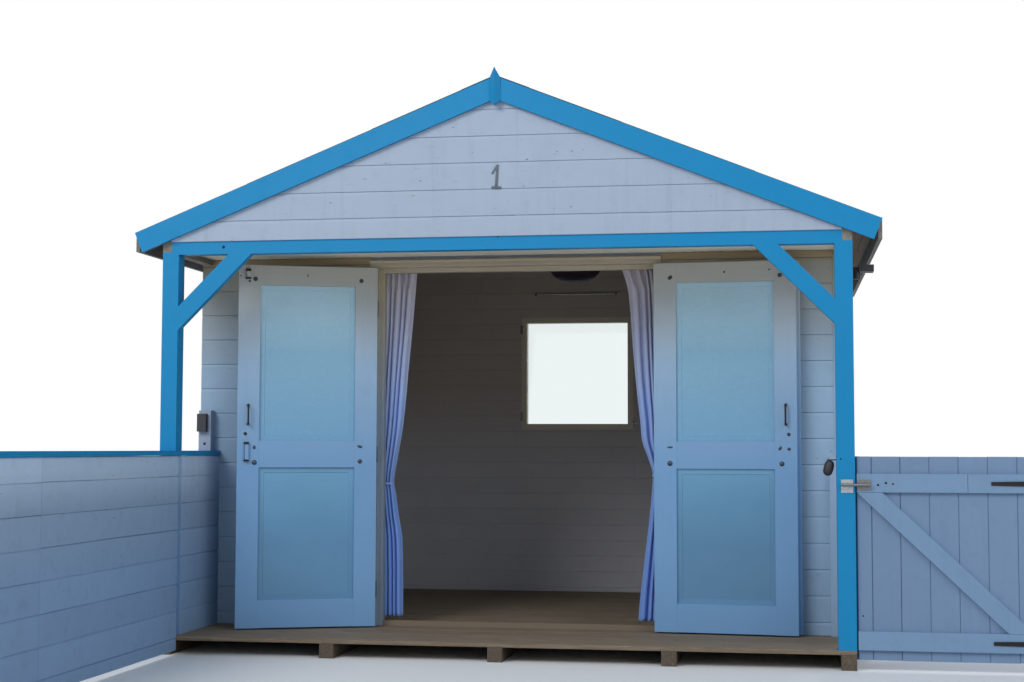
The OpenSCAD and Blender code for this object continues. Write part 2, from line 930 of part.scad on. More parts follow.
// Window frame with a groove for the glass, and lips that cover the joint to the wall
module window_frame() {
  y0 = in_back - win_lip;
  y1 = back_y + win_lip;
  mid = (y0 + y1) / 2;
  color([0.90, 0.92, 0.93])
    translate([win_x - win_w / 2, 0, win_z])
      difference() {
        union() {
          block([0, y0, 0], [win_w, in_back, win_h]);
          block([win_lip, y0, win_lip], [win_w - win_lip, y1, win_h - win_lip]);
          block([0, back_y, 0], [win_w, y1, win_h]);
        }
        block([win_frame, y0 - over, win_frame], [win_w - win_frame, y1 + over, win_h - win_frame]);
        block([win_frame - win_rebate, mid - glass_t / 2, win_frame - win_rebate],
              [win_w - win_frame + win_rebate, mid + glass_t / 2, win_h - win_frame + win_rebate]);
      }
}

module window_glass() {
  y0 = in_back - win_lip;
  y1 = back_y + win_lip;
  mid = (y0 + y1) / 2;
  edge = win_frame - win_rebate;
  color([0.75, 0.85, 0.90, 0.4])
    translate([win_x - win_w / 2, 0, win_z])
      block([edge, mid - glass_t / 2, edge], [win_w - edge, mid + glass_t / 2, win_h - edge]);
}

// Closed bowl lamp on a stem under a rafter
module ceiling_lamp() {
  rose_top = seat_z(abs(lamp_x) + rose_r) - rafter_v;
  stem_top = seat_z(abs(lamp_x) + stem_r) - rafter_v - seat_gap;
  color([0.25, 0.22, 0.20])
    translate([lamp_x, lamp_y, 0]) {
      translate([0, 0, lamp_z])
        rotate_extrude($fn = 64)
          polygon([
            for (a = [0 : 15 : 90]) [lamp_r * sin(a), lamp_h * (1 - cos(a))],
            [lamp_r, lamp_h + lamp_rim], [0, lamp_h + lamp_rim]
          ]);
      translate([0, 0, lamp_z + lamp_h]) cylinder(r = stem_r, h = stem_top - lamp_z - lamp_h);
      translate([0, 0, rose_top - rose_h]) cylinder(r = rose_r, h = rose_h);
    }
}

// Boarding of the fence: one panel at the porch and one for each bay
module fence_boards() {
  color([0.80, 0.83, 0.86]) {
    block([fence_x, post_y + post_w / 2, floor_z], [fence_x + fence_t, front_y, board_top]);
    for (i = [0 : bay_count - 1])
      let (y1 = i == 0 ? post_y : fence_ends[i - 1])
        block([fence_x, fence_ends[i], fence_lift], [fence_x + fence_t, y1, board_top]);
  }
}

// Posts outside the boards, and a short post on the cap against the wall's corner
module fence_posts() {
  color([0.80, 0.82, 0.84]) {
    for (y = fence_ends)
      block([fence_x - post_w, y - post_w / 2, 0], [fence_x, y + post_w / 2, board_top]);
    difference() {
      block([stub_x, front_y - stub_d, fence_top], [stub_x + stub_w, front_y, stub_top]);
      translate([stub_x + stub_w / 2, front_y - stub_d, fence_top + stub_hole_z])
        rotate([-90, 0, 0]) cylinder(r = stub_hole_r, h = stub_w, center = true);
    }
  }
}

// Cap in lengths that meet over the posts, cut round the porch post
module fence_cap() {
  color([0.17, 0.55, 0.78])
    difference() {
      union() {
        block([cap_x0, fence_ends[0], board_top], [cap_x0 + fence_cap_w, front_y, fence_top]);
        for (i = [1 : 1 : bay_count - 1])
          block([cap_x0, fence_ends[i] - post_w / 2, board_top],
                [cap_x0 + fence_cap_w, fence_ends[i - 1], fence_top]);
      }
      block([cap_x0 - over, post_y, board_top - over], [fence_x, post_y + post_w, fence_top + over]);
    }
}

module gate_post() {
  color([0.17, 0.55, 0.78])
    block([gate_post_x, post_y, 0], [gate_post_x + post_w, post_y + post_w, fence_top]);
}

// Tongued boards of the gate as one panel
module gate_boards() {
  color([0.84, 0.86, 0.88])
    block([gate_x0, board_y, gate_lift], [gate_x1, board_y + gate_board_t, gate_top]);
}

// Two ledges and the brace from the latch side down to the hinge side
module gate_ledges() {
  foot_x = gate_x1 - gate_brace_foot;
  color([0.86, 0.87, 0.88]) {
    for (z = [low_ledge_z, ledge_z])
      block([gate_x0, post_y, z - ledge_h], [gate_x1, board_y, z]);
    along_y(post_y, board_y)
      polygon([
        [gate_x0, ledge_z - ledge_h], [gate_x0 + gate_brace, ledge_z - ledge_h],
        [foot_x, low_ledge_z], [foot_x - gate_brace, low_ledge_z]
      ]);
  }
}

// One tapered strap with its eye, about the gate's pin
module strap() {
  tip_h = strap_h / 2;
  y0 = post_y - strap_t;
  difference() {
    union() {
      translate([0, post_y, 0]) rotate([90, 0, 0]) linear_extrude(strap_t)
        polygon([
          [gate_pin_x, -strap_h / 2], [gate_pin_x, strap_h / 2],
          [gate_pin_x - strap_l, tip_h / 2], [gate_pin_x - strap_l, -tip_h / 2]
        ]);
      translate([gate_pin_x, gate_pin_y, -strap_h / 2]) cylinder(r = eye_r, h = strap_h);
    }
    translate([gate_pin_x, gate_pin_y, -strap_h / 2 - over])
      cylinder(r = gate_pin_r + pin_fit, h = strap_h + 2 * over);
  }
}

// Straps and the latch bar of the gate
module gate_fittings() {
  color([0.30, 0.30, 0.31]) {
    for (z = strap_zs)
      translate([0, 0, z]) strap();
    block([gate_x0 + latch_edge, post_y - plate_t, latch_z - latch_half],
          [latch_x1 + latch_edge, post_y, latch_z + latch_half]);
    translate([latch_x0, latch_y, latch_z]) rotate([0, 90, 0]) cylinder(r = latch_r, h = latch_x1 - latch_x0);
    for (x = [gate_x0, latch_x1 - latch_stay])
      translate([x, 0, 0])
        block([latch_stay / 2, latch_y, latch_z - latch_r],
              [latch_stay, post_y - plate_t, latch_z + latch_r]);
  }
}

// Box on the front of the short post
module small_box() {
  block([stub_x, front_y - stub_d - box_d, box_z], [stub_x + box_w, front_y - stub_d, box_z + box_h]);
}

// Flat outdoor light with a round sensor, on an arm from a plate on the right wall
module outdoor_light() {
  translate([hw, light_y, light_z]) {
    block([0, -light_plate_w / 2, -light_plate_h / 2], [light_plate_t, light_plate_w / 2, light_plate_h / 2]);
    block([light_plate_t, -light_arm_h / 2, -light_arm_h / 2],
          [light_x + light_arm_h, light_arm_h / 2, light_arm_h / 2]);
    block([light_x, -light_d / 2, -light_h / 2], [light_x + light_w, light_d / 2, light_h / 2]);
    translate([light_x - sensor_r / 2, 0, -sensor_h - light_arm_h / 2]) cylinder(r = sensor_r, h = sensor_h);
  }
}

// Catch on the right post, with a shelf under the gate's latch bar
module latch_catch() {
  shelf_z = latch_z - latch_r - catch_drop;
  edge = hw - catch_edge;
  block([latch_x0, post_y - plate_t, shelf_z - latch_half], [edge, post_y, latch_z + latch_half]);
  block([latch_x0, latch_y - latch_r, shelf_z - plate_t], [edge, post_y - plate_t, shelf_z]);
}

// Padlock that hangs from a hook on the right post
module hung_padlock() {
  translate([hw - post_w - hook_out, post_y + post_w / 2, hook_z]) {
    rotate([0, 90, 0]) cylinder(r = hook_r, h = hook_out);
    translate([ring_x, 0, -hook_r - ring_in]) {
      rotate([0, 90, 0])
        difference() {
          cylinder(r = ring_r, h = ring_r - ring_in, center = true);
          cylinder(r = ring_in, h = ring_r, center = true);
        }
      block([-pad_t / 2, -pad_w / 2, -pad_h - ring_in], [pad_t / 2, pad_w / 2, -ring_in]);
    }
  }
}

module wall_fittings() {
  color([0.25, 0.26, 0.28]) {
    small_box();
    outdoor_light();
    latch_catch();
    hung_padlock();
  }
}

floor_bearers();
floor_boards();
front_wall_sides();
front_wall_head();
back_wall();
side_walls();
side_plates();
ridge_boards();
rafters_left();
rafters_right();
roof_left();
roof_right();
roof_felt();
bargeboards();
eaves_fascias();
finial();
porch_posts();
porch_beam();
porch_braces();
front_gable();
porch_soffit();
door_frame();
door_sill();
drip_cap();
hinge_pins();
rods();
curtain_left();
curtain_right();
window_frame();
window_glass();
ceiling_lamp();
fence_boards();
fence_posts();
fence_cap();
gate_post();
wall_fittings();
left_door_leaf();
left_door_panels();
left_door_fittings();
right_door_leaf();
right_door_panels();
right_door_fittings();
gate_boards();
gate_ledges();
gate_fittings();
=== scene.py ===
"""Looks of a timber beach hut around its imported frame: boards, paint, felt, curtains and small fittings.

Metres, in the frame's axes: X runs to the right seen from the front, Y to the back and Z up.
Wooden pieces carry their own coordinates, along the grain first, so that one paint suits every board.
"""

import json
import random
from math import atan, copysign, cos, exp, floor, pi, radians, sin

import bmesh
import bpy
from mathutils import Matrix, Vector, noise


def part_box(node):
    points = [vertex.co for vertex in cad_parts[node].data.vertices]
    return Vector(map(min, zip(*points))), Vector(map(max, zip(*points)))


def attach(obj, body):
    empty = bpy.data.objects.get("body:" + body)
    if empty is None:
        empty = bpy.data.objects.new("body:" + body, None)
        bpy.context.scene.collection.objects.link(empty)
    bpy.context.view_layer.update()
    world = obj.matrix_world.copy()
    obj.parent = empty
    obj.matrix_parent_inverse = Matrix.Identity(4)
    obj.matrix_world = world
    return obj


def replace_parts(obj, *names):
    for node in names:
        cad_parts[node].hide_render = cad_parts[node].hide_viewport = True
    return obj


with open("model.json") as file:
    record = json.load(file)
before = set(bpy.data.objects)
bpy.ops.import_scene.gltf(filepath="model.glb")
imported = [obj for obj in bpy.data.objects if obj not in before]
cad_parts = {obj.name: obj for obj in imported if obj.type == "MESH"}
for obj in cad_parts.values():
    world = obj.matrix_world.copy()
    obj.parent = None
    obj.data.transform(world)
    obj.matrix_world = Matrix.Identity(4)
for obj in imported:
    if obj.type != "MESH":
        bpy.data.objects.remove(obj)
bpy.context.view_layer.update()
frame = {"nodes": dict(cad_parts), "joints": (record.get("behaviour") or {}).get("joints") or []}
nodes = frame["nodes"]
joints = {joint["name"]: joint for joint in frame["joints"]}
rng = random.Random(7)


# Sizes from the construction

def span(node, axis):
    """Lowest and highest value of a node along an axis."""
    low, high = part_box(node)
    return low[axis], high[axis]


X, Y, Z = 0, 1, 2
HALF = span("porch_posts", X)[1]
POST_Y, POST_BACK = span("porch_posts", Y)
FRONT_Y = span("front_wall_sides", Y)[0]
IN_BACK, BACK_Y = span("back_wall", Y)
WALL_T = BACK_Y - IN_BACK
IN_FRONT = FRONT_Y + WALL_T
IN_X = HALF - WALL_T
DECK_Z = span("floor_boards", Z)
FLOOR_Z = DECK_Z[1]
EAVES_Z = span("side_walls", Z)[1]
SOFFIT_Z = span("porch_soffit", Z)[0]
BEAM_TOP = span("porch_beam", Z)[1]
FRAME_X = span("door_frame", X)
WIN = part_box("window_frame")
APEX_Z = span("roof_left", Z)[1]
ROOF_Y = span("roof_left", Y)
EAVE_X = span("roof_right", X)[1]
FELT_X = span("roof_felt", X)[1]
SLOPE = (APEX_Z - span("roof_felt", Z)[0]) / FELT_X
PITCH = atan(SLOPE)
ROOF_T = 0.018
ROOF_V = ROOF_T / cos(PITCH)

# Boards: how far they stand out of the wall and are sunk into it, their cover, and a height where two meet
BOARD_T, SUNK = 0.009, -0.001
COVER = 0.1385
LINE_Z, GABLE_LINE_Z = 1.8285, 2.2735
GABLE_TOP = APEX_Z - ROOF_V - 0.02


def roofed(x):
    """Height at which boards stop under the roof boards at a sideways place."""
    return APEX_Z - abs(x) * SLOPE - ROOF_V - 0.003


# Meshes

SHARP = radians(35)


def add_object(name, data):
    """A new object in the scene."""
    made = bpy.data.objects.new(name, data)
    bpy.context.scene.collection.objects.link(made)
    return made


def circle(count):
    """Points of a round with a radius of 1."""
    return [(cos(2 * pi * i / count), sin(2 * pi * i / count)) for i in range(count)]


def rounded(value, power):
    """A power that keeps the sign. Below 1 it makes a round shape squarer."""
    return copysign(abs(value) ** power, value)


def ring_faces(count, rings):
    """Faces between closed rings of count points."""
    return [
        [r * count + i, r * count + (i + 1) % count, (r + 1) * count + (i + 1) % count, (r + 1) * count + i]
        for r in range(rings - 1) for i in range(count)
    ]


def closed_faces(count, rings):
    """The same, and a face over each end."""
    last = (rings - 1) * count
    return ring_faces(count, rings) + [list(range(count))[::-1], [last + i for i in range(count)]]


def plank(out0, out1, up0, up1, c):
    """A rectangle with chamfers of c as a profile. CHAMFERS are the sides at its corners."""
    return [
        (out0, up0 + c), (out0 + c, up0), (out1 - c, up0), (out1, up0 + c),
        (out1, up1 - c), (out1 - c, up1), (out0 + c, up1), (out0, up1 - c),
    ]


CHAMFERS = (0, 2, 4, 6)


class Piece:
    """A mesh in the making. Solids have a tone, faces a wear mark and corners their wood coordinates."""

    def __init__(self):
        self.points, self.faces, self.tones, self.worn, self.grain = [], [], [], [], []

    def solid(self, points, faces, grain=None, worn=(), tone=None):
        """Adds one solid. worn names the faces that lose their paint first."""
        first = len(self.points)
        tone = rng.random() if tone is None else tone
        self.points += [Vector(p) for p in points]
        self.grain += [Vector(g) for g in (grain or points)]
        self.faces += [[first + i for i in face] for face in faces]
        self.tones += [tone] * len(faces)
        self.worn += [1 if i in worn else 0 for i in range(len(faces))]

    def run(self, profile, start, end, place, worn=(), cuts=1, wander=0, tone=None):
        """Sweeps a closed profile of (out, up) points from start to end, which may depend on the point.

        place(along, out, up) gives the position. wander moves the rings a little, as on sawn wood.
        """
        count = len(profile)
        shift = rng.uniform(0, 40)
        seed = rng.uniform(0, 99)
        points, grain = [], []
        for ring in range(cuts + 1):
            for out, up in profile:
                a = start(out, up) if callable(start) else start
                b = end(out, up) if callable(end) else end
                along = a + (b - a) * (ring / cuts)
                drift = wander * noise.noise((along * 1.7 + seed, up * 9, seed))
                points.append(place(along, out, up + drift))
                grain.append((along + shift, up + shift, out))
        marks = {r * count + i for r in range(cuts) for i in worn}
        self.solid(points, closed_faces(count, cuts + 1), grain, marks, tone)

    def bar(self, box, start, end, place, chamfer=0.0015, worn=CHAMFERS, cuts=1):
        """Runs a chamfered board, worn at its edges. box is (out0, out1, up0, up1)."""
        self.run(plank(*box, chamfer), start, end, place, worn, cuts)

    def lathe(self, outline, place, sides):
        """Turns an outline of (radius, height) points about its axis, with a face over each end."""
        around = circle(sides)
        points = [place(radius * c, radius * s, height) for radius, height in outline for c, s in around]
        self.solid(points, closed_faces(sides, len(outline)))

    def tube(self, path, radii, sides):
        """A round bar along a path of points, with a radius at each, closed at both ends."""
        path = [Vector(p) for p in path]
        side = None
        points = []
        for k, (here, radius) in enumerate(zip(path, radii)):
            ahead = (path[min(k + 1, len(path) - 1)] - path[max(k - 1, 0)]).normalized()
            if side is None:
                side = ahead.orthogonal().normalized()
            side = (side - ahead * side.dot(ahead)).normalized()
            across = ahead.cross(side)
            points += [here + side * (radius * c) + across * (radius * s) for c, s in circle(sides)]
        self.solid(points, closed_faces(sides, len(path)))

    def finish(self, name, material, body="hut"):
        """Makes the object, gives it its material, looks up the slot that the material stands for, and lets
        it ride on its body.
        """
        mesh = bpy.data.meshes.new(name)
        mesh.from_pydata(self.points, [], self.faces)
        made = bmesh.new()
        made.from_mesh(mesh)
        bmesh.ops.recalc_face_normals(made, faces=made.faces)
        made.to_mesh(mesh)
        made.free()
        mesh.attributes.new("tone", "FLOAT", "FACE").data.foreach_set("value", self.tones)
        mesh.attributes.new("edge", "FLOAT", "FACE").data.foreach_set("value", self.worn)
        flat = [c for g in self.grain for c in g]
        mesh.attributes.new("grain", "FLOAT_VECTOR", "POINT").data.foreach_set("vector", flat)
        mesh.shade_smooth()
        mesh.set_sharp_from_angle(angle=SHARP)
        mesh.materials.append(material)
        piece = add_object(name, mesh)
        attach(piece, body)
        next(slot for slot, used in SLOTS.items() if material in used)
        return piece


def shiplap(up0, up1, face=BOARD_T, cove=0.024, deep=0.0065):
    """A board with a hollowed top, on which the lower edge of the next board rests."""
    steps, arris = 5, 0.0015
    turns = [pi / 2 * k / steps for k in range(steps + 1)]
    hollow = [(face - deep * (1 - cos(a)), up1 - cove * (1 - sin(a))) for a in turns]
    return [(SUNK, up0), (face - arris, up0), (face, up0 + arris), *hollow, (SUNK, up1)]


SHIPLAP_WORN = (1, 2)


def tongued(up0, up1, face=0.007, vee=0.003):
    """A flat lining board with a vee at both edges."""
    side = face - vee
    return [(SUNK, up0), (side, up0), (face, up0 + vee), (face, up1 - vee), (side, up1), (SUNK, up1)]


TONGUED_WORN = (1, 3)


def clipped(profile, low, high):
    """The part of a profile between two heights."""
    for limit, sign in ((low, 1), (high, -1)):
        kept = []
        for k, here in enumerate(profile):
            before = profile[k - 1]
            inside, was = (here[1] - limit) * sign >= 0, (before[1] - limit) * sign >= 0
            if inside != was:
                t = (limit - before[1]) / (here[1] - before[1])
                kept.append((before[0] + (here[0] - before[0]) * t, limit))
            if inside:
                kept.append(here)
        profile = kept
    return profile


def rows(bottom, top, line, cover=COVER):
    """The lower and upper height of each board between bottom and top."""
    least = 0.004
    lines = [bottom]
    z = line - floor((line - bottom) / cover) * cover
    while z < top - least:
        if z > bottom + least:
            lines.append(z)
        z += cover
    return list(zip(lines, lines[1:] + [top]))


def clad(piece, place, bottom, top, line, ends, cover=COVER, hole=None, profile=shiplap, worn=SHIPLAP_WORN,
         butts=()):
    """Boards a whole wall. ends(up) gives both ends of a board's run, and hole is (along0, along1, up0, up1).

    butts are (along, up) places where two boards meet end to end.
    """
    def start(out, up):
        return ends(up)[0]

    def end(out, up):
        return ends(up)[1]

    butt_gap = 0.0012
    for up0, up1 in rows(bottom, top, line, cover):
        shape = profile(up0, up1)
        tone = rng.random()
        if hole is None or up1 <= hole[2] or up0 >= hole[3]:
            meet = [along for along, up in butts if up0 < up < up1]
            if meet:
                piece.run(shape, start, meet[0] - butt_gap, place, worn, tone=tone)
                piece.run(shape, meet[0] + butt_gap, end, place, worn)
            else:
                piece.run(shape, start, end, place, worn, tone=tone)
            continue
        piece.run(shape, start, hole[0], place, worn, tone=tone)
        piece.run(shape, hole[1], end, place, worn, tone=tone)
        if up0 < hole[2]:
            piece.run(clipped(shape, up0, hole[2]), hole[0], hole[1], place, (), tone=tone)
        if up1 > hole[3]:
            piece.run(clipped(shape, hole[3], up1), hole[0], hole[1], place, (), tone=tone)


def dome(radius, height, steps=4):
    """Outline of a round head from its rim to its crown."""
    turns = [pi / 2 * k / steps for k in range(steps + 1)]
    return [(radius * cos(a) + 0.00005, height * sin(a)) for a in turns]


def ball(radius, least, steps=8):
    """Outline of a ball. least keeps its poles a little open."""
    turns = [pi * k / steps for k in range(steps + 1)]
    return [(radius * sin(a) + least, -radius * cos(a)) for a in turns]


def head(piece, centre, out, radius, height, sides=14, wide=1, turned=0):
    """A round head at a centre on a face that looks along out.

    wide stretches it along one direction of its face, and turned is the angle of that direction.
    """
    out = Vector(out).normalized()
    a = out.orthogonal().normalized() if abs(out.z) > 0.9 else out.cross((0, 0, 1)).normalized()
    b = out.cross(a)
    a, b = a * cos(turned) + b * sin(turned), b * cos(turned) - a * sin(turned)
    centre = Vector(centre)
    piece.lathe([(radius, SUNK)] + dome(radius, height),
                lambda x, y, h: centre + a * (x * wide) + b * y + out * h, sides)


# Materials

def linear(colour):
    """A colour as the renderer wants it. Three numbers give it as seen on a screen, from 0 to 255."""
    if len(colour) == 4:
        return colour
    parts = [c / 255 for c in colour]
    return [c / 12.92 if c <= 0.04045 else ((c + 0.055) / 1.055) ** 2.4 for c in parts] + [1]


def shade(colour, factor):
    """A colour made darker or lighter."""
    return [min(1, c * factor) for c in linear(colour)[:3]] + [1]


class Graph:
    """Builds the nodes of a material, or of the world."""

    def __init__(self, owner):
        self.owner = owner
        owner.use_nodes = True
        self.tree = owner.node_tree
        self.tree.nodes.clear()

    def put(self, socket, value):
        """Gives an input a value, or links it where the value is a socket."""
        if isinstance(value, bpy.types.NodeSocket):
            self.tree.links.new(value, socket)
        else:
            socket.default_value = linear(value) if socket.type == "RGBA" else value

    def add(self, kind, inputs=(), **settings):
        """A node of a kind with its settings and its inputs."""
        node = self.tree.nodes.new("ShaderNode" + kind)
        for key, value in settings.items():
            setattr(node, key, value)
        for key, value in dict(inputs).items():
            self.put(node.inputs[key], value)
        return node

    def place(self):
        """Positions in the frame."""
        return self.add("TexCoord").outputs["Object"]

    def mark(self, name):
        """A number that the mesh carries on each face."""
        return self.add("Attribute", attribute_name=name).outputs["Fac"]

    def coords(self, axes):
        """Wood coordinates with the grain first: a piece's own, or the frame's axes in another order."""
        if axes == "grain":
            return self.add("Attribute", attribute_name="grain").outputs["Vector"]
        parts = self.add("SeparateXYZ", {0: self.place()}).outputs
        if axes == "slope":
            x = self.math("ABSOLUTE", parts[0])
            turned = self.add("CombineXYZ", {0: x, 1: parts[1], 2: parts[2]}).outputs[0]
            return self.add("Mapping", {"Vector": turned, "Rotation": (0, -PITCH, 0)}).outputs[0]
        order = {"x": (0, 2, 1), "y": (1, 2, 0), "z": (2, 0, 1)}[axes]
        return self.add("CombineXYZ", {i: parts[k] for i, k in enumerate(order)}).outputs[0]

    def stretch(self, vector, by):
        return self.add("VectorMath", {0: vector, 1: by}, operation="MULTIPLY").outputs[0]

    def noise(self, vector, scale, detail=3, rough=0.55, bend=0):
        inputs = {"Vector": vector, "Scale": scale, "Detail": detail, "Roughness": rough, "Distortion": bend}
        return self.add("TexNoise", inputs).outputs[0]

    def math(self, operation, a, b=0):
        return self.add("Math", {0: a, 1: b}, operation=operation).outputs[0]

    def times(self, a, b):
        return self.math("MULTIPLY", a, b)

    def plus(self, a, b):
        return self.math("ADD", a, b)

    def minus(self, a, b):
        return self.math("SUBTRACT", a, b)

    def fit(self, value, low, high, to_low=0, to_high=1):
        """value as it goes from low to high, held inside the new limits."""
        return self.add("MapRange", {0: value, 1: low, 2: high, 3: to_low, 4: to_high}).outputs[0]

    def mix(self, factor, a, b, blend="MIX"):
        return self.add("Mix", data_type="RGBA", blend_type=blend, inputs={0: factor, 6: a, 7: b}).outputs[2]

    def over(self, base, colour, value, low, high, most=1):
        """base, and up to most of a colour over it as value goes from low to high."""
        return self.mix(self.fit(value, low, high, 0, most), base, colour)

    def bump(self, height, distance, strength=0.6):
        return self.add("Bump", {"Height": height, "Distance": distance, "Strength": strength}).outputs[0]

    def surface(self, **inputs):
        """The shader and the output. Names are written with underscores for spaces."""
        shader = self.add("BsdfPrincipled", {key.replace("_", " "): value for key, value in inputs.items()})
        self.add("OutputMaterial", {"Surface": shader.outputs[0]})
        return self.owner


def new_graph(name):
    """The nodes of a new material."""
    return Graph(bpy.data.materials.new(name))


BARE = (132, 124, 112)
GRIME = (88, 86, 80)
RUST = (96, 58, 36)


def paint(name, colour, axes="grain", gloss=0.5, dirt=0.15, wear=0, cracks=0.2, spread=0.05, relief=1,
          painted_light_by_height=(), runs=0, shine=0.3):
    """Brushed paint on wood: tone by board, raised grain, fine cracks, grime and chips at the edges.

    The (low, high, colour) entries by height are painted light and shade: the paint turns to that colour from
    one height to the other, standing in for the light that falls there.
    runs is the strength of the marks that rain leaves, and spread how far boards differ in tone.
    """
    g = new_graph(name)
    at = g.coords(axes)
    place = g.place()
    along = g.stretch(at, (0.07, 1, 1))
    brush = g.noise(along, 420)
    figure = g.noise(along, 62, 4, bend=0.4)
    blotch = g.noise(at, 2.1)
    patch = g.noise(at, 13, 5, 0.62)
    tone = g.mark("tone")
    edge = g.mark("edge")
    base = colour
    # Painted light and shade: the colour changes with height to stand in for how the light falls
    if painted_light_by_height:
        height = g.add("SeparateXYZ", {0: place}).outputs[2]
        for low, high, painted_tone in painted_light_by_height:
            base = g.over(base, painted_tone, height, low, high)
    level = g.plus(g.times(tone, 0.5), g.times(blotch, 0.6))
    weight = g.fit(level, 0.15, 0.95, 1 - spread, 1 + spread * 0.6)
    base = g.mix(1, base, g.add("CombineXYZ", {0: weight, 1: weight, 2: weight}).outputs[0], "MULTIPLY")
    base = g.over(base, shade(colour, 0.78), figure, 0.35, 0.75, 0.08)
    base = g.over(base, GRIME, patch, 0.55, 0.85, dirt)
    if runs:
        skew = g.add("Mapping", {"Vector": place, "Rotation": (0, 0, 0.61)}).outputs[0]
        wet = g.noise(g.stretch(skew, (9, 9, 0.5)), 2.2, 4, 0.6, 1.1)
        base = g.over(base, shade(GRIME, 0.9), wet, 0.5, 0.8, runs)
    split = g.math("ABSOLUTE", g.minus(figure, 0.52))
    where = g.fit(g.noise(at, 3.3, 2), 0.54, 0.68)
    crack = g.times(g.fit(split, 0, 0.008, 1, 0), where)
    base = g.mix(g.times(crack, cracks), base, shade(GRIME, 0.5))
    flake = g.noise(g.stretch(at, (0.35, 1, 1)), 70, 4, 0.6)
    chip = g.fit(g.plus(flake, g.plus(g.times(edge, 0.11), wear)), 0.8, 0.83)
    base = g.mix(chip, base, BARE)
    height = g.plus(g.times(brush, 0.22), g.times(figure, 0.75))
    height = g.minus(height, g.times(g.plus(crack, chip), 0.8))
    rough = g.plus(g.fit(patch, 0.4, 0.8, gloss, gloss + 0.2), g.times(chip, 0.3))
    return g.surface(Base_Color=base, Roughness=rough, Specular_IOR_Level=shine,
                     Normal=g.bump(height, 0.0006 * relief, 0.5))


def timber(name, pale, dark, axes="grain"):
    """Bare weathered wood with growth lines, darker patches and fine cracks."""
    g = new_graph(name)
    at = g.coords(axes)
    along = g.stretch(at, (0.06, 1, 1))
    rings = g.noise(along, 75, 5, 0.6, 1.2)
    fine = g.noise(along, 380)
    blotch = g.noise(at, 4, 4)
    tone = g.mark("tone")
    base = g.over(dark, pale, rings, 0.3, 0.7)
    base = g.over(base, shade(dark, 0.6), fine, 0.5, 0.8, 0.35)
    base = g.over(base, shade(dark, 0.9), blotch, 0.35, 0.75, 0.4)
    base = g.mix(g.times(tone, 0.3), base, shade(dark, 0.7))
    crack = g.fit(g.math("ABSOLUTE", g.minus(rings, 0.5)), 0, 0.012, 1, 0)
    base = g.mix(g.times(crack, 0.35), base, shade(dark, 0.35))
    height = g.minus(g.plus(rings, g.times(fine, 0.5)), g.times(crack, 0.5))
    return g.surface(Base_Color=base, Roughness=0.75, Normal=g.bump(height, 0.0012))


def metal(name, colour, rough=0.5, metallic=0, rust=0):
    """Dull or painted metal with worn places and specks of rust, or plastic where metallic and rust are 0."""
    g = new_graph(name)
    at = g.place()
    cloud = g.noise(at, 60, 4, 0.6)
    speck = g.noise(at, 330, 3, 0.6)
    base = g.over(colour, shade(colour, 1.35), cloud, 0.35, 0.75)
    base = g.over(base, RUST, g.plus(g.times(cloud, 0.6), g.times(speck, 0.5)), 0.6, 0.68, rust)
    uneven = g.fit(cloud, 0.3, 0.8, rough - 0.08, rough + 0.15)
    return g.surface(Base_Color=base, Metallic=metallic, Roughness=uneven, Normal=g.bump(speck, 0.0003, 0.5))


def felt_material(name):
    """Mineral felt: granules, rain marks down the slope and a few pale spots."""
    g = new_graph(name)
    at = g.place()
    grit = g.noise(at, 620, 2, 0.7)
    cloud = g.noise(at, 3, 5, 0.6)
    runs = g.noise(g.stretch(at, (0.5, 7, 0.5)), 4, 4, 0.6)
    spots = g.add("TexVoronoi", {"Vector": at, "Scale": 26, "Randomness": 1}).outputs["Distance"]
    base = g.over((56, 60, 62), (98, 102, 103), grit, 0.35, 0.7)
    base = g.over(base, (82, 84, 78), cloud, 0.3, 0.75, 0.45)
    base = g.over(base, (48, 50, 50), runs, 0.5, 0.8, 0.35)
    base = g.mix(g.times(g.mark("tone"), 0.16), base, (110, 112, 110))
    lichen = g.times(g.fit(spots, 0.05, 0.12, 1, 0), g.fit(cloud, 0.55, 0.65))
    base = g.mix(g.times(lichen, 0.5), base, (150, 152, 138))
    return g.surface(Base_Color=base, Roughness=0.9, Normal=g.bump(grit, 0.0014, 0.8))


def cotton_material(name, top, middle, low):
    """Thin cotton: a plain weave at its real size, slubs, a soft sheen, and painted light and shade: paler
    and warmer at the top, bluer and darker below.
    """
    g = new_graph(name)
    at = g.add("UVMap", uv_map="UVMap").outputs[0]
    across, down = [g.add("TexWave", {"Vector": at, "Scale": 320}, bands_direction=axis).outputs["Fac"]
                    for axis in ("X", "Y")]
    weave = g.times(across, down)
    slub = g.noise(g.stretch(at, (1, 0.08, 1)), 210)
    cloud = g.noise(at, 5)
    depth = g.add("SeparateXYZ", {0: at}).outputs[1]
    # Painted light and shade: the colour goes from a pale warm top to a darker blue below
    colour = g.over(top, middle, depth, 0.05, 0.75)
    colour = g.over(colour, low, depth, 0.7, 1.35)
    base = g.mix(g.fit(weave, 0, 0.6, 0.1, 0), colour, shade(low, 0.5))
    base = g.over(base, shade(low, 0.6), slub, 0.5, 0.75, 0.14)
    base = g.over(base, shade(middle, 0.8), cloud, 0.35, 0.75, 0.12)
    height = g.plus(weave, g.times(slub, 0.8))
    return g.surface(Base_Color=base, Roughness=0.85, Sheen_Weight=0.25, Sheen_Roughness=0.4,
                     Normal=g.bump(height, 0.0004))


def glass_material(name):
    """Clear window glass with a little dust."""
    g = new_graph(name)
    dust = g.noise(g.place(), 14, 6, 0.65)
    return g.surface(Base_Color=(236, 243, 243), Roughness=g.fit(dust, 0.45, 0.8, 0.02, 0.1),
                     Transmission_Weight=1, IOR=1.46, Normal=g.bump(dust, 0.0004, 0.12))


BLUE = (19, 139, 196)
# White paint, written greyer and bluer than it is as a painted cool shade
WHITE_WITH_PAINTED_SHADE = (169, 184, 205)

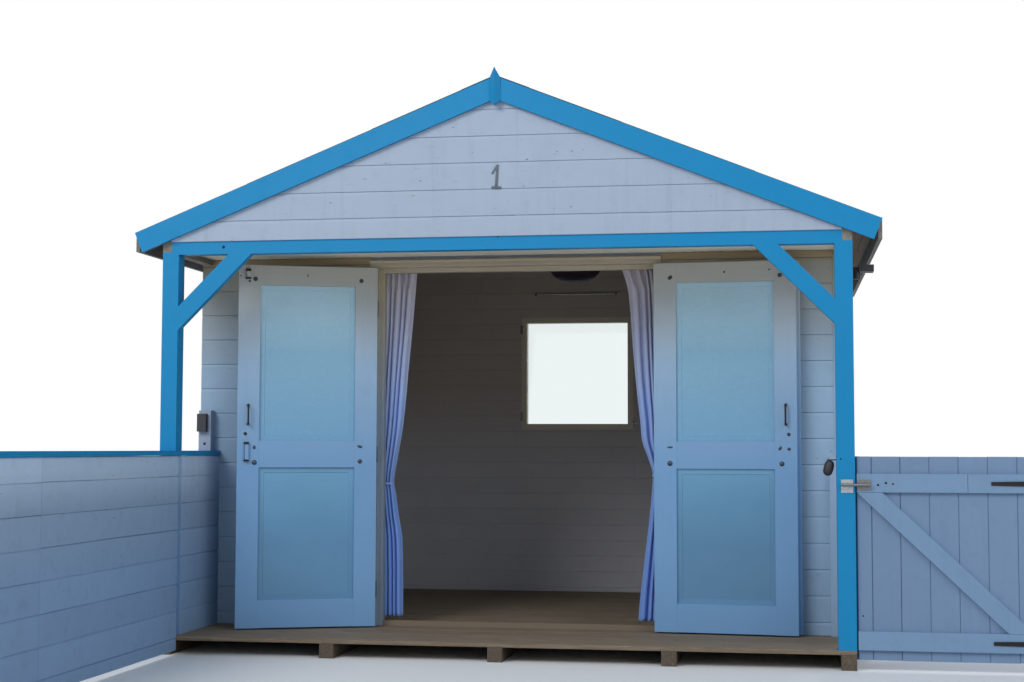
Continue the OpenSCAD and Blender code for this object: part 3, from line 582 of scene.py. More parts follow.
# Paints of boards
white = paint("white_board_paint", WHITE_WITH_PAINTED_SHADE, dirt=0.12, runs=0.11)
# Wall under the porch: darker and bluer than the white as painted shade, warmer towards the top as painted
# bounce light, and browner in a band at the very top as painted shade
under_roof_white_painted_light_and_shade = paint("white_wall_paint", (154, 182, 208), dirt=0.12,
                         painted_light_by_height=((1.5, 2.04, (170, 168, 158)), (2.07, 2.12, (172, 151, 118))))
# Fence: darker and bluer as painted shade, lighter towards its top board as painted light
fence_white_painted_light_and_shade = paint("white_fence_paint", (134, 164, 200), dirt=0.2, spread=0.08, wear=0.01, runs=0.08,
                    painted_light_by_height=((0.45, 0.8, (148, 171, 199)), (0.8, 0.98, (188, 210, 234))))
# Gate boards and ledges: the white written darker and bluer as painted shade
gate_white_painted_shade = paint("white_gate_paint", (120, 146, 179), dirt=0.14, spread=0.06, runs=0.08)
ledge_white_painted_shade = paint("white_ledge_paint", (123, 154, 188), dirt=0.14, spread=0.04, runs=0.1)
# Room lining: cooler low down, warmer and darker above, as painted light and shade of the room
lining = paint("lining_paint", (212, 212, 218), dirt=0.1, gloss=0.55, cracks=0.1,
               painted_light_by_height=((0.95, 1.5, (200, 190, 181)),))
# Soffit: a warm cream written as pale as it goes, as painted bounce light in its shade
soffit_paint_painted_light = paint("soffit_paint_painted_light", (255, 250, 234), dirt=0.12, gloss=0.55, cracks=0.1)
# Doors: bluer low down as painted sky shade, warm and pale at the top as painted bounce light
door_paint = paint("door_paint", (120, 164, 208), gloss=0.36, dirt=0.08, cracks=0.1, spread=0.03, relief=0.6,
                   painted_light_by_height=((0.95, 1.6, (156, 184, 210)), (1.55, 2.03, (188, 186, 178))))
# Upper panels: paler towards the top as painted light
panel_paint = paint("panel_paint", (120, 171, 207), gloss=0.2, dirt=0.06, cracks=0, spread=0.03, relief=0.35,
                    painted_light_by_height=((1.1, 1.6, (135, 180, 206)), (1.6, 1.98, (186, 220, 236))), shine=0.4)
# Lower panels: darker, mottled and lighter at the top, as a painted reflection of the dark things in front
low_panel_painted_reflection = paint("low_panel_painted_reflection", (94, 145, 184), gloss=0.07, dirt=0.1, cracks=0, spread=0.12,
                        relief=0.3, painted_light_by_height=((0.55, 0.95, (113, 168, 205)),), shine=0.5)

# Paints of CAD nodes. Blue has a second finish where its edges are rubbed.
blue = {}
for axes in ("x", "y", "z", "slope"):
    blue[axes] = (paint(f"blue_paint_{axes}", BLUE, axes, gloss=0.42, dirt=0.06, shine=0.25),
                  paint(f"blue_paint_{axes}_edge", BLUE, axes, gloss=0.42, dirt=0.08, wear=0.08, shine=0.25))
post_white = paint("white_post_paint", shade(WHITE_WITH_PAINTED_SHADE, 0.94), "z", dirt=0.25, wear=0.02)
# Door frame: bluish grey as painted shade, warmer towards the head as painted bounce light
frame_paint = paint("frame_paint", (150, 166, 184), "z", gloss=0.4, dirt=0.12,
                    painted_light_by_height=((1.2, 2, (204, 192, 168)),))
cap_paint = paint("cap_paint", (200, 187, 166), "x", gloss=0.4, dirt=0.2, cracks=0.3, spread=0.12)
window_paint = paint("window_paint", (226, 218, 196), "z", gloss=0.4, dirt=0.12)

deck_wood = timber("deck_wood", (150, 134, 114), (108, 94, 78))
roof_wood = timber("roof_wood", (178, 158, 130), (140, 118, 92))
plate_wood = timber("plate_wood", (158, 152, 142), (112, 105, 96), "y")
bearer_wood = timber("bearer_wood", (112, 100, 84), (70, 60, 50), "y")
rafter_wood = timber("rafter_wood", (186, 166, 138), (146, 124, 98), "slope")

black_iron = metal("black_iron", (34, 34, 36), 0.42, 0.6, 0.25)
head_iron = metal("head_iron", (62, 66, 72), 0.36, 0.5, 0.2)
numeral_steel = metal("numeral_steel", (80, 91, 100), 0.34, 0.5, 0.3)
dull_steel = metal("dull_steel", (118, 120, 122), 0.45, 0.85, 0.35)
bright_steel = metal("bright_steel", (168, 176, 182), 0.32, 0.8, 0.15)
painted_head = metal("painted_head", (140, 152, 166), 0.5, 0.2, 0.25)
rod_paint = metal("rod_paint", (84, 72, 66), 0.45, 0.5, 0.2)
lamp_enamel = metal("lamp_enamel", (40, 30, 38), 0.6)
# For the upward faces of the outdoor light: a painted highlight
lamp_top_painted_highlight = metal("lamp_top_painted_highlight", (200, 204, 208), 0.4)
fitting_plastic = metal("fitting_plastic", (48, 48, 54))
rubber = metal("lock_rubber", (40, 36, 42), 0.55)
felt = felt_material("mineral_felt")
# Curtain colours from the top down, paler and warmer at the top as painted light
cotton = cotton_material("curtain_cotton", (226, 217, 224), (170, 197, 250), (124, 166, 242))
clear_glass = glass_material("window_glass_clear")

# The record's slot that each material of a new piece stands for
SLOTS = {
    "white_boards": (white, under_roof_white_painted_light_and_shade, fence_white_painted_light_and_shade, gate_white_painted_shade, ledge_white_painted_shade, lining, soffit_paint_painted_light,
                     painted_head),
    "blue_paint": (blue["z"][0],),
    "door_paint": (door_paint, frame_paint),
    "panel_paint": (panel_paint, low_panel_painted_reflection),
    "floor_wood": (deck_wood,),
    "roof_wood": (roof_wood,),
    "felt": (felt,),
    "dark_metal": (black_iron, head_iron),
    "steel": (numeral_steel, dull_steel),
    "fitting_grey": (rubber,),
}


def dress(node, finish, edge, worn=None):
    """A CAD node keeps its shape. It gets a finish, rounded edges and a second finish on the rubbed ones."""
    thing = nodes[node]
    mesh = thing.data
    mesh.materials.clear()
    mesh.materials.append(finish)
    if worn is not None:
        mesh.materials.append(worn)
    mesh.shade_smooth()
    mesh.set_sharp_from_angle(angle=SHARP)
    if edge:
        bevel = thing.modifiers.new("edges", "BEVEL")
        bevel.width, bevel.segments = edge, 2
        bevel.limit_method, bevel.angle_limit = "ANGLE", radians(40)
        bevel.use_clamp_overlap = True
        bevel.harden_normals = True
        if worn is not None:
            bevel.material = 1


def refinish(node, finish, where):
    """Gives another finish to the faces of a CAD node that where(centre, normal) picks."""
    mesh = nodes[node].data
    mesh.materials.append(finish)
    for face in mesh.polygons:
        if where(face.center, face.normal):
            face.material_index = len(mesh.materials) - 1


for node in ("front_wall_sides", "front_wall_head", "back_wall", "side_walls", "front_gable"):
    dress(node, paint(node + "_paint", shade(WHITE_WITH_PAINTED_SHADE, 0.8), "z"), 0)
for node, axes, edge in (
    ("bargeboards", "slope", 0.002), ("finial", "z", 0.0012), ("porch_posts", "z", 0.003),
    ("porch_beam", "x", 0.003), ("porch_braces", "slope", 0.003), ("fence_cap", "y", 0.003),
    ("gate_post", "z", 0.003),
):
    dress(node, blue[axes][0], edge, blue[axes][1])
for finish, edge, *dressed in (
    (bearer_wood, 0.003, "floor_bearers"),
    (plate_wood, 0.002, "side_plates", "ridge_boards", "eaves_fascias"),
    (rafter_wood, 0.002, "rafters_left", "rafters_right"),
    (rafter_wood, 0.001, "roof_left", "roof_right"),
    (deck_wood, 0.003, "door_sill"),
    (frame_paint, 0.002, "door_frame"),
    (cap_paint, 0.001, "drip_cap"),
    (window_paint, 0.002, "window_frame"),
    (post_white, 0.003, "fence_posts"),
    (clear_glass, 0, "window_glass"),
    (rod_paint, 0, "rods"),
    (lamp_enamel, 0, "ceiling_lamp"),
    (fitting_plastic, 0.0012, "wall_fittings"),
    (dull_steel, 0.0008, "gate_fittings"),
    (black_iron, 0.0006, "left_door_fittings", "right_door_fittings"),
    (black_iron, 0.0004, "hinge_pins"),
):
    for node in dressed:
        dress(node, finish, edge)
# The rod over the window, the gate's straps, the padlock's hook and the outdoor light's top. The light's
# upward faces get a white finish as a painted highlight.
refinish("rods", bright_steel, lambda centre, normal: centre.y > 0.5)
refinish("gate_fittings", black_iron, lambda centre, normal: centre.x > 2.2)
refinish("wall_fittings", bright_steel, lambda centre, normal: centre.x > 1.7 and centre.z < 1)
refinish("wall_fittings", lamp_top_painted_highlight,
         lambda centre, normal: centre.x > 1.85 and centre.z > 2.055 and normal.z > 0.9)


# Places: each takes (along the run, out, up)

def front_place(y):
    """Boards that run in X on a face at y that looks to the front."""
    return lambda along, out, up: (along, y - out, up)


def back_place(y):
    """The same on a face that looks to the back."""
    return lambda along, out, up: (along, y + out, up)


def side_place(x, sign):
    """Boards that run in Y on a face at x, whose outside lies towards sign."""
    return lambda along, out, up: (x + sign * out, along, up)


def slope_place(sign, top, outward):
    """Runs in Y on one half of the roof. up counts down the slope from the ridge, whose height is top."""
    sine, cosine = sin(PITCH), cos(PITCH)
    return lambda along, out, up: (
        sign * (up * cosine + outward * out * sine), along, top - up * sine + outward * out * cosine)


def x_run(along, out, up):
    """A run in X whose profile is given as (y, z)."""
    return along, out, up


def y_run(along, out, up):
    """A run in Y whose profile is given as (x, z)."""
    return out, along, up


def z_run(along, out, up):
    """A run in Z whose profile is given as (x, y)."""
    return out, up, along


def z_run_turned(along, out, up):
    """A run in Z whose profile is given as (y, x)."""
    return up, out, along


# Boards of the walls

def between(a, b):
    """Ends of boards that are all equally long."""
    return lambda up: (a, b)


def under_slope(most, gap=0.002):
    """Ends of boards that reach most to each side, or to the roof's slope less a gap."""
    def ends(up):
        reach = max(min(most, (APEX_Z - ROOF_V - up) / SLOPE - gap), 0.01)
        return -reach, reach

    return ends


TRIM_W, TRIM_T = 0.027, 0.012
WINDOW_LAP = 0.008
hole = (WIN[0].x + WINDOW_LAP, WIN[1].x - WINDOW_LAP, WIN[0].z + WINDOW_LAP, WIN[1].z - WINDOW_LAP)

front = Piece()
for x0, x1 in ((-HALF - BOARD_T, FRAME_X[0]), (FRAME_X[1], HALF + BOARD_T)):
    clad(front, front_place(FRONT_Y), FLOOR_Z, SOFFIT_Z, LINE_Z, between(x0, x1))
front.finish("front_shiplap", under_roof_white_painted_light_and_shade)

gable = Piece()
clad(gable, front_place(POST_Y), BEAM_TOP, GABLE_TOP, GABLE_LINE_Z, under_slope(HALF - 0.05))
gable.finish("gable_shiplap", white)

back = Piece()
clad(back, back_place(BACK_Y), FLOOR_Z, GABLE_TOP, LINE_Z, under_slope(HALF - TRIM_W), hole=hole)
back.finish("back_shiplap", white)

sides = Piece()
for sign in (-1, 1):
    clad(sides, side_place(sign * HALF, sign), FLOOR_Z, roofed(HALF + BOARD_T), LINE_Z,
         between(FRONT_Y + 0.0005, BACK_Y - TRIM_W))
sides.finish("side_shiplap", white)

trims = Piece()
for sign in (-1, 1):
    trims.bar((SUNK, TRIM_T, 0, TRIM_W), FLOOR_Z, roofed(HALF),
              lambda along, out, up: (sign * (HALF - up), BACK_Y + out, along))
    trims.bar((SUNK, TRIM_T, 0, TRIM_W + TRIM_T), FLOOR_Z, roofed(HALF + TRIM_T),
              lambda along, out, up: (sign * (HALF + out), BACK_Y - (up - TRIM_T), along))
# A batten and a short post against it, which show beside the right post
for x0, x1, deep, top in ((1.716, 1.804, 0.013, SOFFIT_Z), (1.689, 1.762, 0.045, 1.04)):
    trims.bar((SUNK, deep, x0, x1), FLOOR_Z, top, lambda along, out, up: (up, FRONT_Y - out, along), 0.002)
trims.finish("corner_trims", under_roof_white_painted_light_and_shade)

# Lining of the room, with its own narrower boards
LINING_LINE = 1.198
LINING_BUTTS = ((-0.375, 1.18), (0.446, 0.98), (-1.02, 0.76), (0.93, 0.55), (-0.62, 2.2))
LINING_T = 0.007
boarded = {"cover": 0.107, "profile": tongued, "worn": TONGUED_WORN}
inside = Piece()
clad(inside, front_place(IN_BACK), FLOOR_Z, GABLE_TOP, LINING_LINE, under_slope(IN_X, 0),
     hole=hole, butts=LINING_BUTTS, **boarded)
for x0, x1 in ((-IN_X, FRAME_X[0]), (FRAME_X[1], IN_X)):
    clad(inside, back_place(IN_FRONT), FLOOR_Z, EAVES_Z, LINING_LINE, between(x0, x1), **boarded)
clad(inside, back_place(IN_FRONT), EAVES_Z + 0.005, GABLE_TOP, LINING_LINE, under_slope(IN_X, 0), **boarded)
for sign in (-1, 1):
    clad(inside, side_place(sign * IN_X, -sign), FLOOR_Z, EAVES_Z, LINING_LINE,
         between(IN_FRONT + LINING_T, IN_BACK - LINING_T), **boarded)
inside.finish("room_lining", lining)

# Floor boards, run from side to side, with their joints over the bearers
DECK_W, DECK_GAP, DECK_JOINTS = 0.1196, 0.0035, (-0.895, 0, 0.895)
deck = Piece()
y, row = POST_Y, 0
while y < BACK_Y - 0.02:
    y1 = min(y + DECK_W, BACK_Y)
    joint = DECK_JOINTS[row % len(DECK_JOINTS)]
    for a, b in ((-HALF, joint - 0.001), (joint + 0.001, HALF)):
        deck.bar((y, y1 - DECK_GAP, *DECK_Z), a, b, x_run, 0.002)
    y += DECK_W
    row += 1
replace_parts(deck.finish("deck_boards", deck_wood), "floor_boards")

soffit = Piece()
low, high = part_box("porch_soffit")
count = 3
step = (high.y - low.y) / count
for k in range(count):
    y0 = low.y + k * step
    soffit.bar((y0, y0 + step - 0.0015, low.z, high.z), low.x, high.x, x_run, 0.002)
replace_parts(soffit.finish("soffit_boards", soffit_paint_painted_light), "porch_soffit")

# Roof boards seen from the room and from under the eaves
CEILING_W = 0.118
reach = EAVE_X / cos(PITCH)
ceiling = Piece()
for sign in (-1, 1):
    s = 0.02
    while s < reach - 0.02:
        s1 = min(s + CEILING_W, reach - 0.004) - 0.001
        ceiling.run(tongued(s, s1, 0.005, 0.002), ROOF_Y[0] + 0.002, ROOF_Y[1] - 0.002,
                    slope_place(sign, APEX_Z - ROOF_V, -1), TONGUED_WORN)
        s += CEILING_W
ceiling.finish("roof_boards_under", roof_wood)


# Fence

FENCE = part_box("fence_boards")
FENCE_T = FENCE[1].x - FENCE[0].x
BAY = 1.65
FENCE_LINE, FENCE_COVER = 0.93, 0.1405
posts_y = [FENCE[0].y, FENCE[0].y + BAY, POST_Y, FRONT_Y - 0.001]

fence = Piece()
for k in range(3):
    last = k == 2
    y0 = POST_Y + (POST_BACK - POST_Y) / 2 if last else posts_y[k] + 0.001
    foot = FLOOR_Z if last else FENCE[0].z
    for up0, up1 in rows(foot, FENCE[1].z, FENCE_LINE, FENCE_COVER):
        lift = rng.uniform(-0.0015, 0.0015)
        shape = shiplap(up0 + (lift if up0 > foot else 0), up1, FENCE_T, 0.026, 0.0075)
        fence.run([(max(out, 0), up) for out, up in shape], y0, posts_y[k + 1] - 0.001,
                  side_place(FENCE[0].x, 1), SHIPLAP_WORN, 10, 0.0022)
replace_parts(fence.finish("fence_shiplap", fence_white_painted_light_and_shade), "fence_boards")


# Gate

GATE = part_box("gate_boards")
LEDGE_Y = span("gate_ledges", Y)[0]
FIRST_JOINT, GATE_COVER = 1.8735, 0.1383
edges = [GATE[0].x, *(FIRST_JOINT + GATE_COVER * k for k in range(7)), GATE[1].x]
gate = Piece()
for x0, x1 in zip(edges, edges[1:]):
    vee = 0.0025
    gap = 0.0016 if x0 == edges[1] else 0.0005
    back_y, front_y = GATE[1].y - 0.0005, GATE[0].y
    shape = [
        (x0 + gap, front_y + vee), (x0 + vee + gap, front_y), (x1 - vee, front_y), (x1 - gap, front_y + vee),
        (x1 - gap, back_y - vee), (x1 - vee, back_y), (x0 + vee + gap, back_y), (x0 + gap, back_y - vee),
    ]
    gate.run(shape, GATE[0].z + rng.uniform(0, 0.003), GATE[1].z - rng.uniform(0, 0.002), z_run, CHAMFERS, 4)
for x in edges[1:-1]:
    middle = (GATE[0].y + GATE[1].y) / 2
    gate.bar((middle - 0.002, middle + 0.003, x - 0.006, x + 0.006),
             GATE[0].z + 0.004, GATE[1].z - 0.004, z_run_turned, 0.0005, (), 2)
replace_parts(gate.finish("gate_tongued_boards", gate_white_painted_shade, "gate"), "gate_boards")

# Two ledges and a brace. The upper ledge is pieced out of two lengths.
LEDGE_H, LOW_Z, HIGH_Z = 0.092, 0.192, 0.959
MEET_X, BRACE_W, BRACE_FOOT = 2.331, 0.122, 0.216
ledges = Piece()
for x0, x1, top in (
    (GATE[0].x, MEET_X - 0.001, HIGH_Z), (MEET_X + 0.001, GATE[1].x, HIGH_Z), (GATE[0].x, GATE[1].x, LOW_Z),
):
    ledges.bar((LEDGE_Y, GATE[0].y, top - LEDGE_H, top), x0, x1, x_run, 0.002)
brace_top = HIGH_Z - LEDGE_H
lean = (GATE[1].x - BRACE_FOOT - BRACE_W - GATE[0].x) / (brace_top - LOW_Z)
ledges.run([(LEDGE_Y, 0), (LEDGE_Y, BRACE_W), (GATE[0].y, BRACE_W), (GATE[0].y, 0)],
           LOW_Z + 0.0005, brace_top - 0.0005,
           lambda along, out, up: (GATE[0].x + up + (brace_top - along) * lean, out, along), (), 4)
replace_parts(ledges.finish("gate_ledge_boards", ledge_white_painted_shade, "gate"), "gate_ledges")
stop = Piece()
stop.bar((GATE[1].y + 0.006, GATE[1].y + 0.028, HALF - 0.0005, HALF + 0.022),
         GATE[0].z, GATE[1].z, z_run_turned, 0.002)
stop.finish("gate_stop", blue["z"][0])


# Doors

LEAF_T, KNUCKLE, IN_EDGE = 0.044, 0.006, 0.002
LEAF_W, HINGE_STILE, CLOSE_STILE = 0.762, 0.123, 0.119
LEAF_H, LEAF_Z = 1.974, FLOOR_Z + 0.008
LEAF_TOP = LEAF_Z + LEAF_H
LOCK_RAIL = LEAF_Z + 0.867
RAILS = [(LEAF_Z, LEAF_Z + 0.15), (LOCK_RAIL, LEAF_Z + 1.013), (LEAF_TOP - 0.109, LEAF_TOP)]
# The cover bead of the right leaf: its outer edge from the pin, its width and its thickness
BEAD_EDGE, BEAD_W, BEAD_T = 0.78, 0.04, 0.012
INNER = KNUCKLE + LEAF_T
PANEL_Y, PANEL_HALF, PANEL_TONGUE = KNUCKLE + LEAF_T / 2, 0.006, 0.008
MOULD_W, MOULD_T = 0.029, 0.0025
# Joint, the hand that the leaf lies to and the angle that it stands at
doors = {"left": (joints["left_door_hinge"], 1, -159), "right": (joints["right_door_hinge"], -1, 174.7)}


def door_place(side):
    """Positions given along the leaf from its pin, out from its outer face to its inner one, and up."""
    joint, hand, angle = doors[side]
    turn = Matrix.Rotation(radians(angle), 3, "Z")
    pin = Vector((*joint["pos_m"][:2], 0))
    return lambda along, out, up: pin + turn @ Vector((hand * along, out, up))


def upright_place(at):
    """The same places for a run that goes up, with its profile given as (out, along the leaf)."""
    return lambda along, out, up: at(up, out, along)


def door_panel(at, a, b, low, high):
    """One panel between stiles at a and b and rails at low and high, with a flat moulding on both faces."""
    made = Piece()
    made.bar((PANEL_Y - PANEL_HALF, PANEL_Y + PANEL_HALF, low - PANEL_TONGUE, high + PANEL_TONGUE),
             a - PANEL_TONGUE, b + PANEL_TONGUE, at, 0.001, (), 8)
    lip = [(0, 0), (MOULD_T, 0), (MOULD_T, MOULD_W - 0.002), (MOULD_T - 0.002, MOULD_W), (0, MOULD_W)]
    for sign in (1, -1):
        face = PANEL_Y + sign * PANEL_HALF
        for up, inward in ((low, 1), (high, -1)):
            made.run(lip, lambda o, u: a + u, lambda o, u: b - u,
                     lambda along, out, u: at(along, face + sign * out, up + inward * u), (2,))
        for x, inward in ((a, 1), (b, -1)):
            made.run(lip, lambda o, u: low + u, lambda o, u: high - u,
                     lambda along, out, u: at(x + inward * u, face + sign * out, along), (2,))
    return made


for side in ("left", "right"):
    at = door_place(side)
    standing = upright_place(at)
    body = side + "_door"
    x0, x1 = IN_EDGE, IN_EDGE + LEAF_W
    a, b = x0 + HINGE_STILE, x1 - CLOSE_STILE
    leaf = Piece()
    for stile in ((x0, a), (b, x1)):
        leaf.bar((KNUCKLE, INNER, *stile), LEAF_Z, LEAF_TOP, standing, 0.0018)
    for rail in RAILS:
        leaf.bar((KNUCKLE + 0.0005, INNER - 0.0005, *rail), a - 0.001, b + 0.001, at)
    if side == "right":
        bead = (KNUCKLE - BEAD_T, KNUCKLE, BEAD_EDGE - BEAD_W, BEAD_EDGE)
        leaf.bar(bead, LEAF_Z, LEAF_TOP, standing, 0.003)
    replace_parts(leaf.finish(side + "_leaf_frame", door_paint, body), side + "_door_leaf")
    panes = [
        door_panel(at, a, b, RAILS[k][1], RAILS[k + 1][0]).finish(side + name, finish, body)
        for k, (name, finish) in enumerate((("_lower_panel", low_panel_painted_reflection), ("_upper_panel", panel_paint)))
    ]
    for pane in panes:
        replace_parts(pane, side + "_door_panels")

# Heads on the inner faces of the leaves: along the leaf, height, radius, stretch and turn
HEADS = {
    "left": [
        (0.6746, 2.0034, 0.0125), (0.0935, 2.0047, 0.012), (0.6712, 1.0817, 0.008, 1.35, 1.57),
        (0.6701, 0.9997, 0.014), (0.0952, 1.0869, 0.0075, 2, -0.3), (0.0945, 1.0061, 0.0125),
        (0.3895, 2.0278, 0.0035, 2, 1.57), (0.7544, 2.0186, 0.0045), (0.7064, 1.99, 0.006),
    ],
    "right": [
        (0.0932, 2.0006, 0.01, 1.4, 0.7), (0.6799, 2.0001, 0.012), (0.0894, 1.0867, 0.0055, 2.9, 0),
        (0.0891, 1.0007, 0.0145), (0.6747, 1.0822, 0.008, 1.5, 1), (0.7211, 1.0786, 0.0085, 1.1, 0),
        (0.6834, 1.0008, 0.0135), (0.3852, 2.0241, 0.0045, 1.5, 1.57), (0.6238, 2.0314, 0.005),
        (0.719, 1.156, 0.007),
    ],
}
HANDLE_X, HANDLE_Z, HANDLE_HALF = 0.706, LOCK_RAIL + 0.288, 0.051
PLATE_T, HANDLE_OUT, HANDLE_R = 0.003, 0.027, 0.0051
for side in ("left", "right"):
    at = door_place(side)
    bolts = Piece()
    out = at(0, 1, 0) - at(0, 0, 0)
    for along, up, radius, *oval in HEADS[side]:
        lift = PLATE_T if along > 0.715 and 1.1 < up < 1.2 else 0
        head(bolts, at(along, INNER + lift, up), out, radius, min(0.006, radius * 0.5), 14, *oval)
    for sign in (-1, 1):
        end = HANDLE_Z + sign * HANDLE_HALF
        head(bolts, at(HANDLE_X, INNER + PLATE_T, end), out, 0.0085, 0.004)
        elbow = at(HANDLE_X, INNER + HANDLE_OUT, end)
        bolts.lathe(ball(HANDLE_R, 0.00003), lambda x, y, h: elbow + Vector((x, y, h)), 12)
    bolts.finish(side + "_door_bolt_heads", head_iron, side + "_door")

# Painted casings of the two small bolts on the left leaf, and their dark staples
BOLT_X, CASE_OUT, CASE_HALF = 0.714, 0.0158, 0.0126
standing = upright_place(door_place("left"))
casing, staples = Piece(), Piece()
for low, high in ((2.003, 2.057), (1.007, 1.11)):
    casing.bar((INNER, INNER + CASE_OUT, BOLT_X - CASE_HALF, BOLT_X + CASE_HALF),
               low + 0.009, high - 0.013, standing, 0.002)
    for a, b, wide in ((low - 0.001, low + 0.006, 0.015), (high - 0.012, high + 0.001, 0.0135)):
        staples.bar((INNER, INNER + CASE_OUT + 0.001, BOLT_X - wide, BOLT_X + wide), a, b, standing)
    staples.bar((INNER + CASE_OUT, INNER + CASE_OUT + 0.0006, 0.7225, 0.725),
                low + 0.006, high - 0.012, standing, 0.0002, ())
casing.finish("left_bolt_casings", door_paint, "left_door")
staples.finish("left_bolt_staples", black_iron, "left_door")

# Flat draught strips on the front of the door frame's stops: each stop's line, and how far its strip reaches
STOP_Y = FRONT_Y + LEAF_T + 0.006
HEAD_Z = 2.062
strip = Piece()
for x, near, far in ((-0.752, -0.019, -0.001), (0.755, 0.001, 0.0085)):
    strip.bar((x + near, x + far, STOP_Y - 0.0018, STOP_Y), FLOOR_Z + 0.03, HEAD_Z - 0.001, z_run, 0.0006)
strip.finish("door_stop_strips", frame_paint)


# Roof felt

SLOPE_LEN = FELT_X / cos(PITCH)
FELT_T, FELT_LAP, CAP_W = 0.0014, 0.022, 0.19
SHEETS = [(1.35, SLOPE_LEN, 0), (0.62, 1.425, 0.0012), (0, 0.7, 0.0024)]
CAP = [(0, CAP_W, 0.0036)]
sheets = Piece()
for laid in (SHEETS, CAP):
    for sign in (-1, 1):
        for s0, s1, lift in laid:
            top = lift + FELT_T
            sheets.run([(lift, s0), (lift, s1), (top, s1), (top, s0)], ROOF_Y[0] - FELT_LAP,
                       ROOF_Y[1] + FELT_LAP, slope_place(sign, APEX_Z, 1), (), 24, 0.003)
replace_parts(sheets.finish("felt_sheets", felt), "roof_felt")

NAIL_STEP = 0.085
clouts = Piece()
for sign in (-1, 1):
    normal = Vector((sign * sin(PITCH), 0, cos(PITCH)))
    for s, lift in ((0.165, 0.005), (0.675, 0.0038), (1.4, 0.0026), (SLOPE_LEN - 0.03, 0.0014)):
        y = ROOF_Y[0] + 0.03
        while y < ROOF_Y[1]:
            spot = Vector((sign * s * cos(PITCH), y, APEX_Z - s * sin(PITCH))) + normal * lift
            head(clouts, spot, normal, 0.006, 0.001, 6)
            y += NAIL_STEP
clouts.finish("felt_nails", dull_steel)


# Curtains

# Hand, places (height, X) of the free edge from the top down, height of the tie, the folds' parts of the
# width, and how far the folds lean
CURTAINS = {
    "curtain_left": (
        -1, [(2.086, -0.589), (1.99, -0.596), (1.8, -0.611), (1.55, -0.634), (1.23, -0.663), (1.03, -0.695),
             (0.93, -0.712), (0.885, -0.716), (0.83, -0.706), (0.72, -0.69), (0.56, -0.666), (0.14, -0.658)],
        0.885, [0.2, 0.24, 0.09, 0.18, 0.1, 0.19], -0.24),
    "curtain_right": (
        1, [(2.086, 0.568), (2.03, 0.588), (1.934, 0.611), (1.6, 0.637), (1.4, 0.655), (1.23, 0.674),
            (1.12, 0.684), (1.04, 0.712), (0.97, 0.735), (0.93, 0.742), (0.86, 0.738), (0.69, 0.722),
            (0.56, 0.706), (0.26, 0.67), (0.14, 0.66)],
        0.935, [0.17, 0.12, 0.13, 0.1, 0.19, 0.29], -0.22),
}
# The width that a curtain was cut to, its folds' depth, its gathered heading and how far the tie is felt
FLAT_W = 0.6
FOLD_DEEP = 0.0175
HEADING, HEADING_FADE = 0.07, 0.05
TIE_REACH = 0.08


def smooth(t):
    """A soft step from 0 to 1."""
    t = max(0, min(1, t))
    return t * t * (3 - 2 * t)


def eased(places, z):
    """Value at a height on a soft curve through (height, value) places that go down."""
    if z >= places[0][0]:
        return places[0][1]
    for k in range(len(places) - 1):
        (z0, v0), (z1, v1) = places[k], places[k + 1]
        if z >= z1:
            t = (z0 - z) / (z0 - z1)
            before = places[max(k - 1, 0)]
            after = places[min(k + 2, len(places) - 1)]
            m0 = (v1 - before[1]) / max(before[0] - z1, 1e-6) * (z0 - z1)
            m1 = (after[1] - v0) / max(z0 - after[0], 1e-6) * (z0 - z1)
            return v0 + (v1 - v0) * smooth(t) + t * (1 - t) ** 2 * m0 - t ** 2 * (1 - t) * m1
    return places[-1][1]


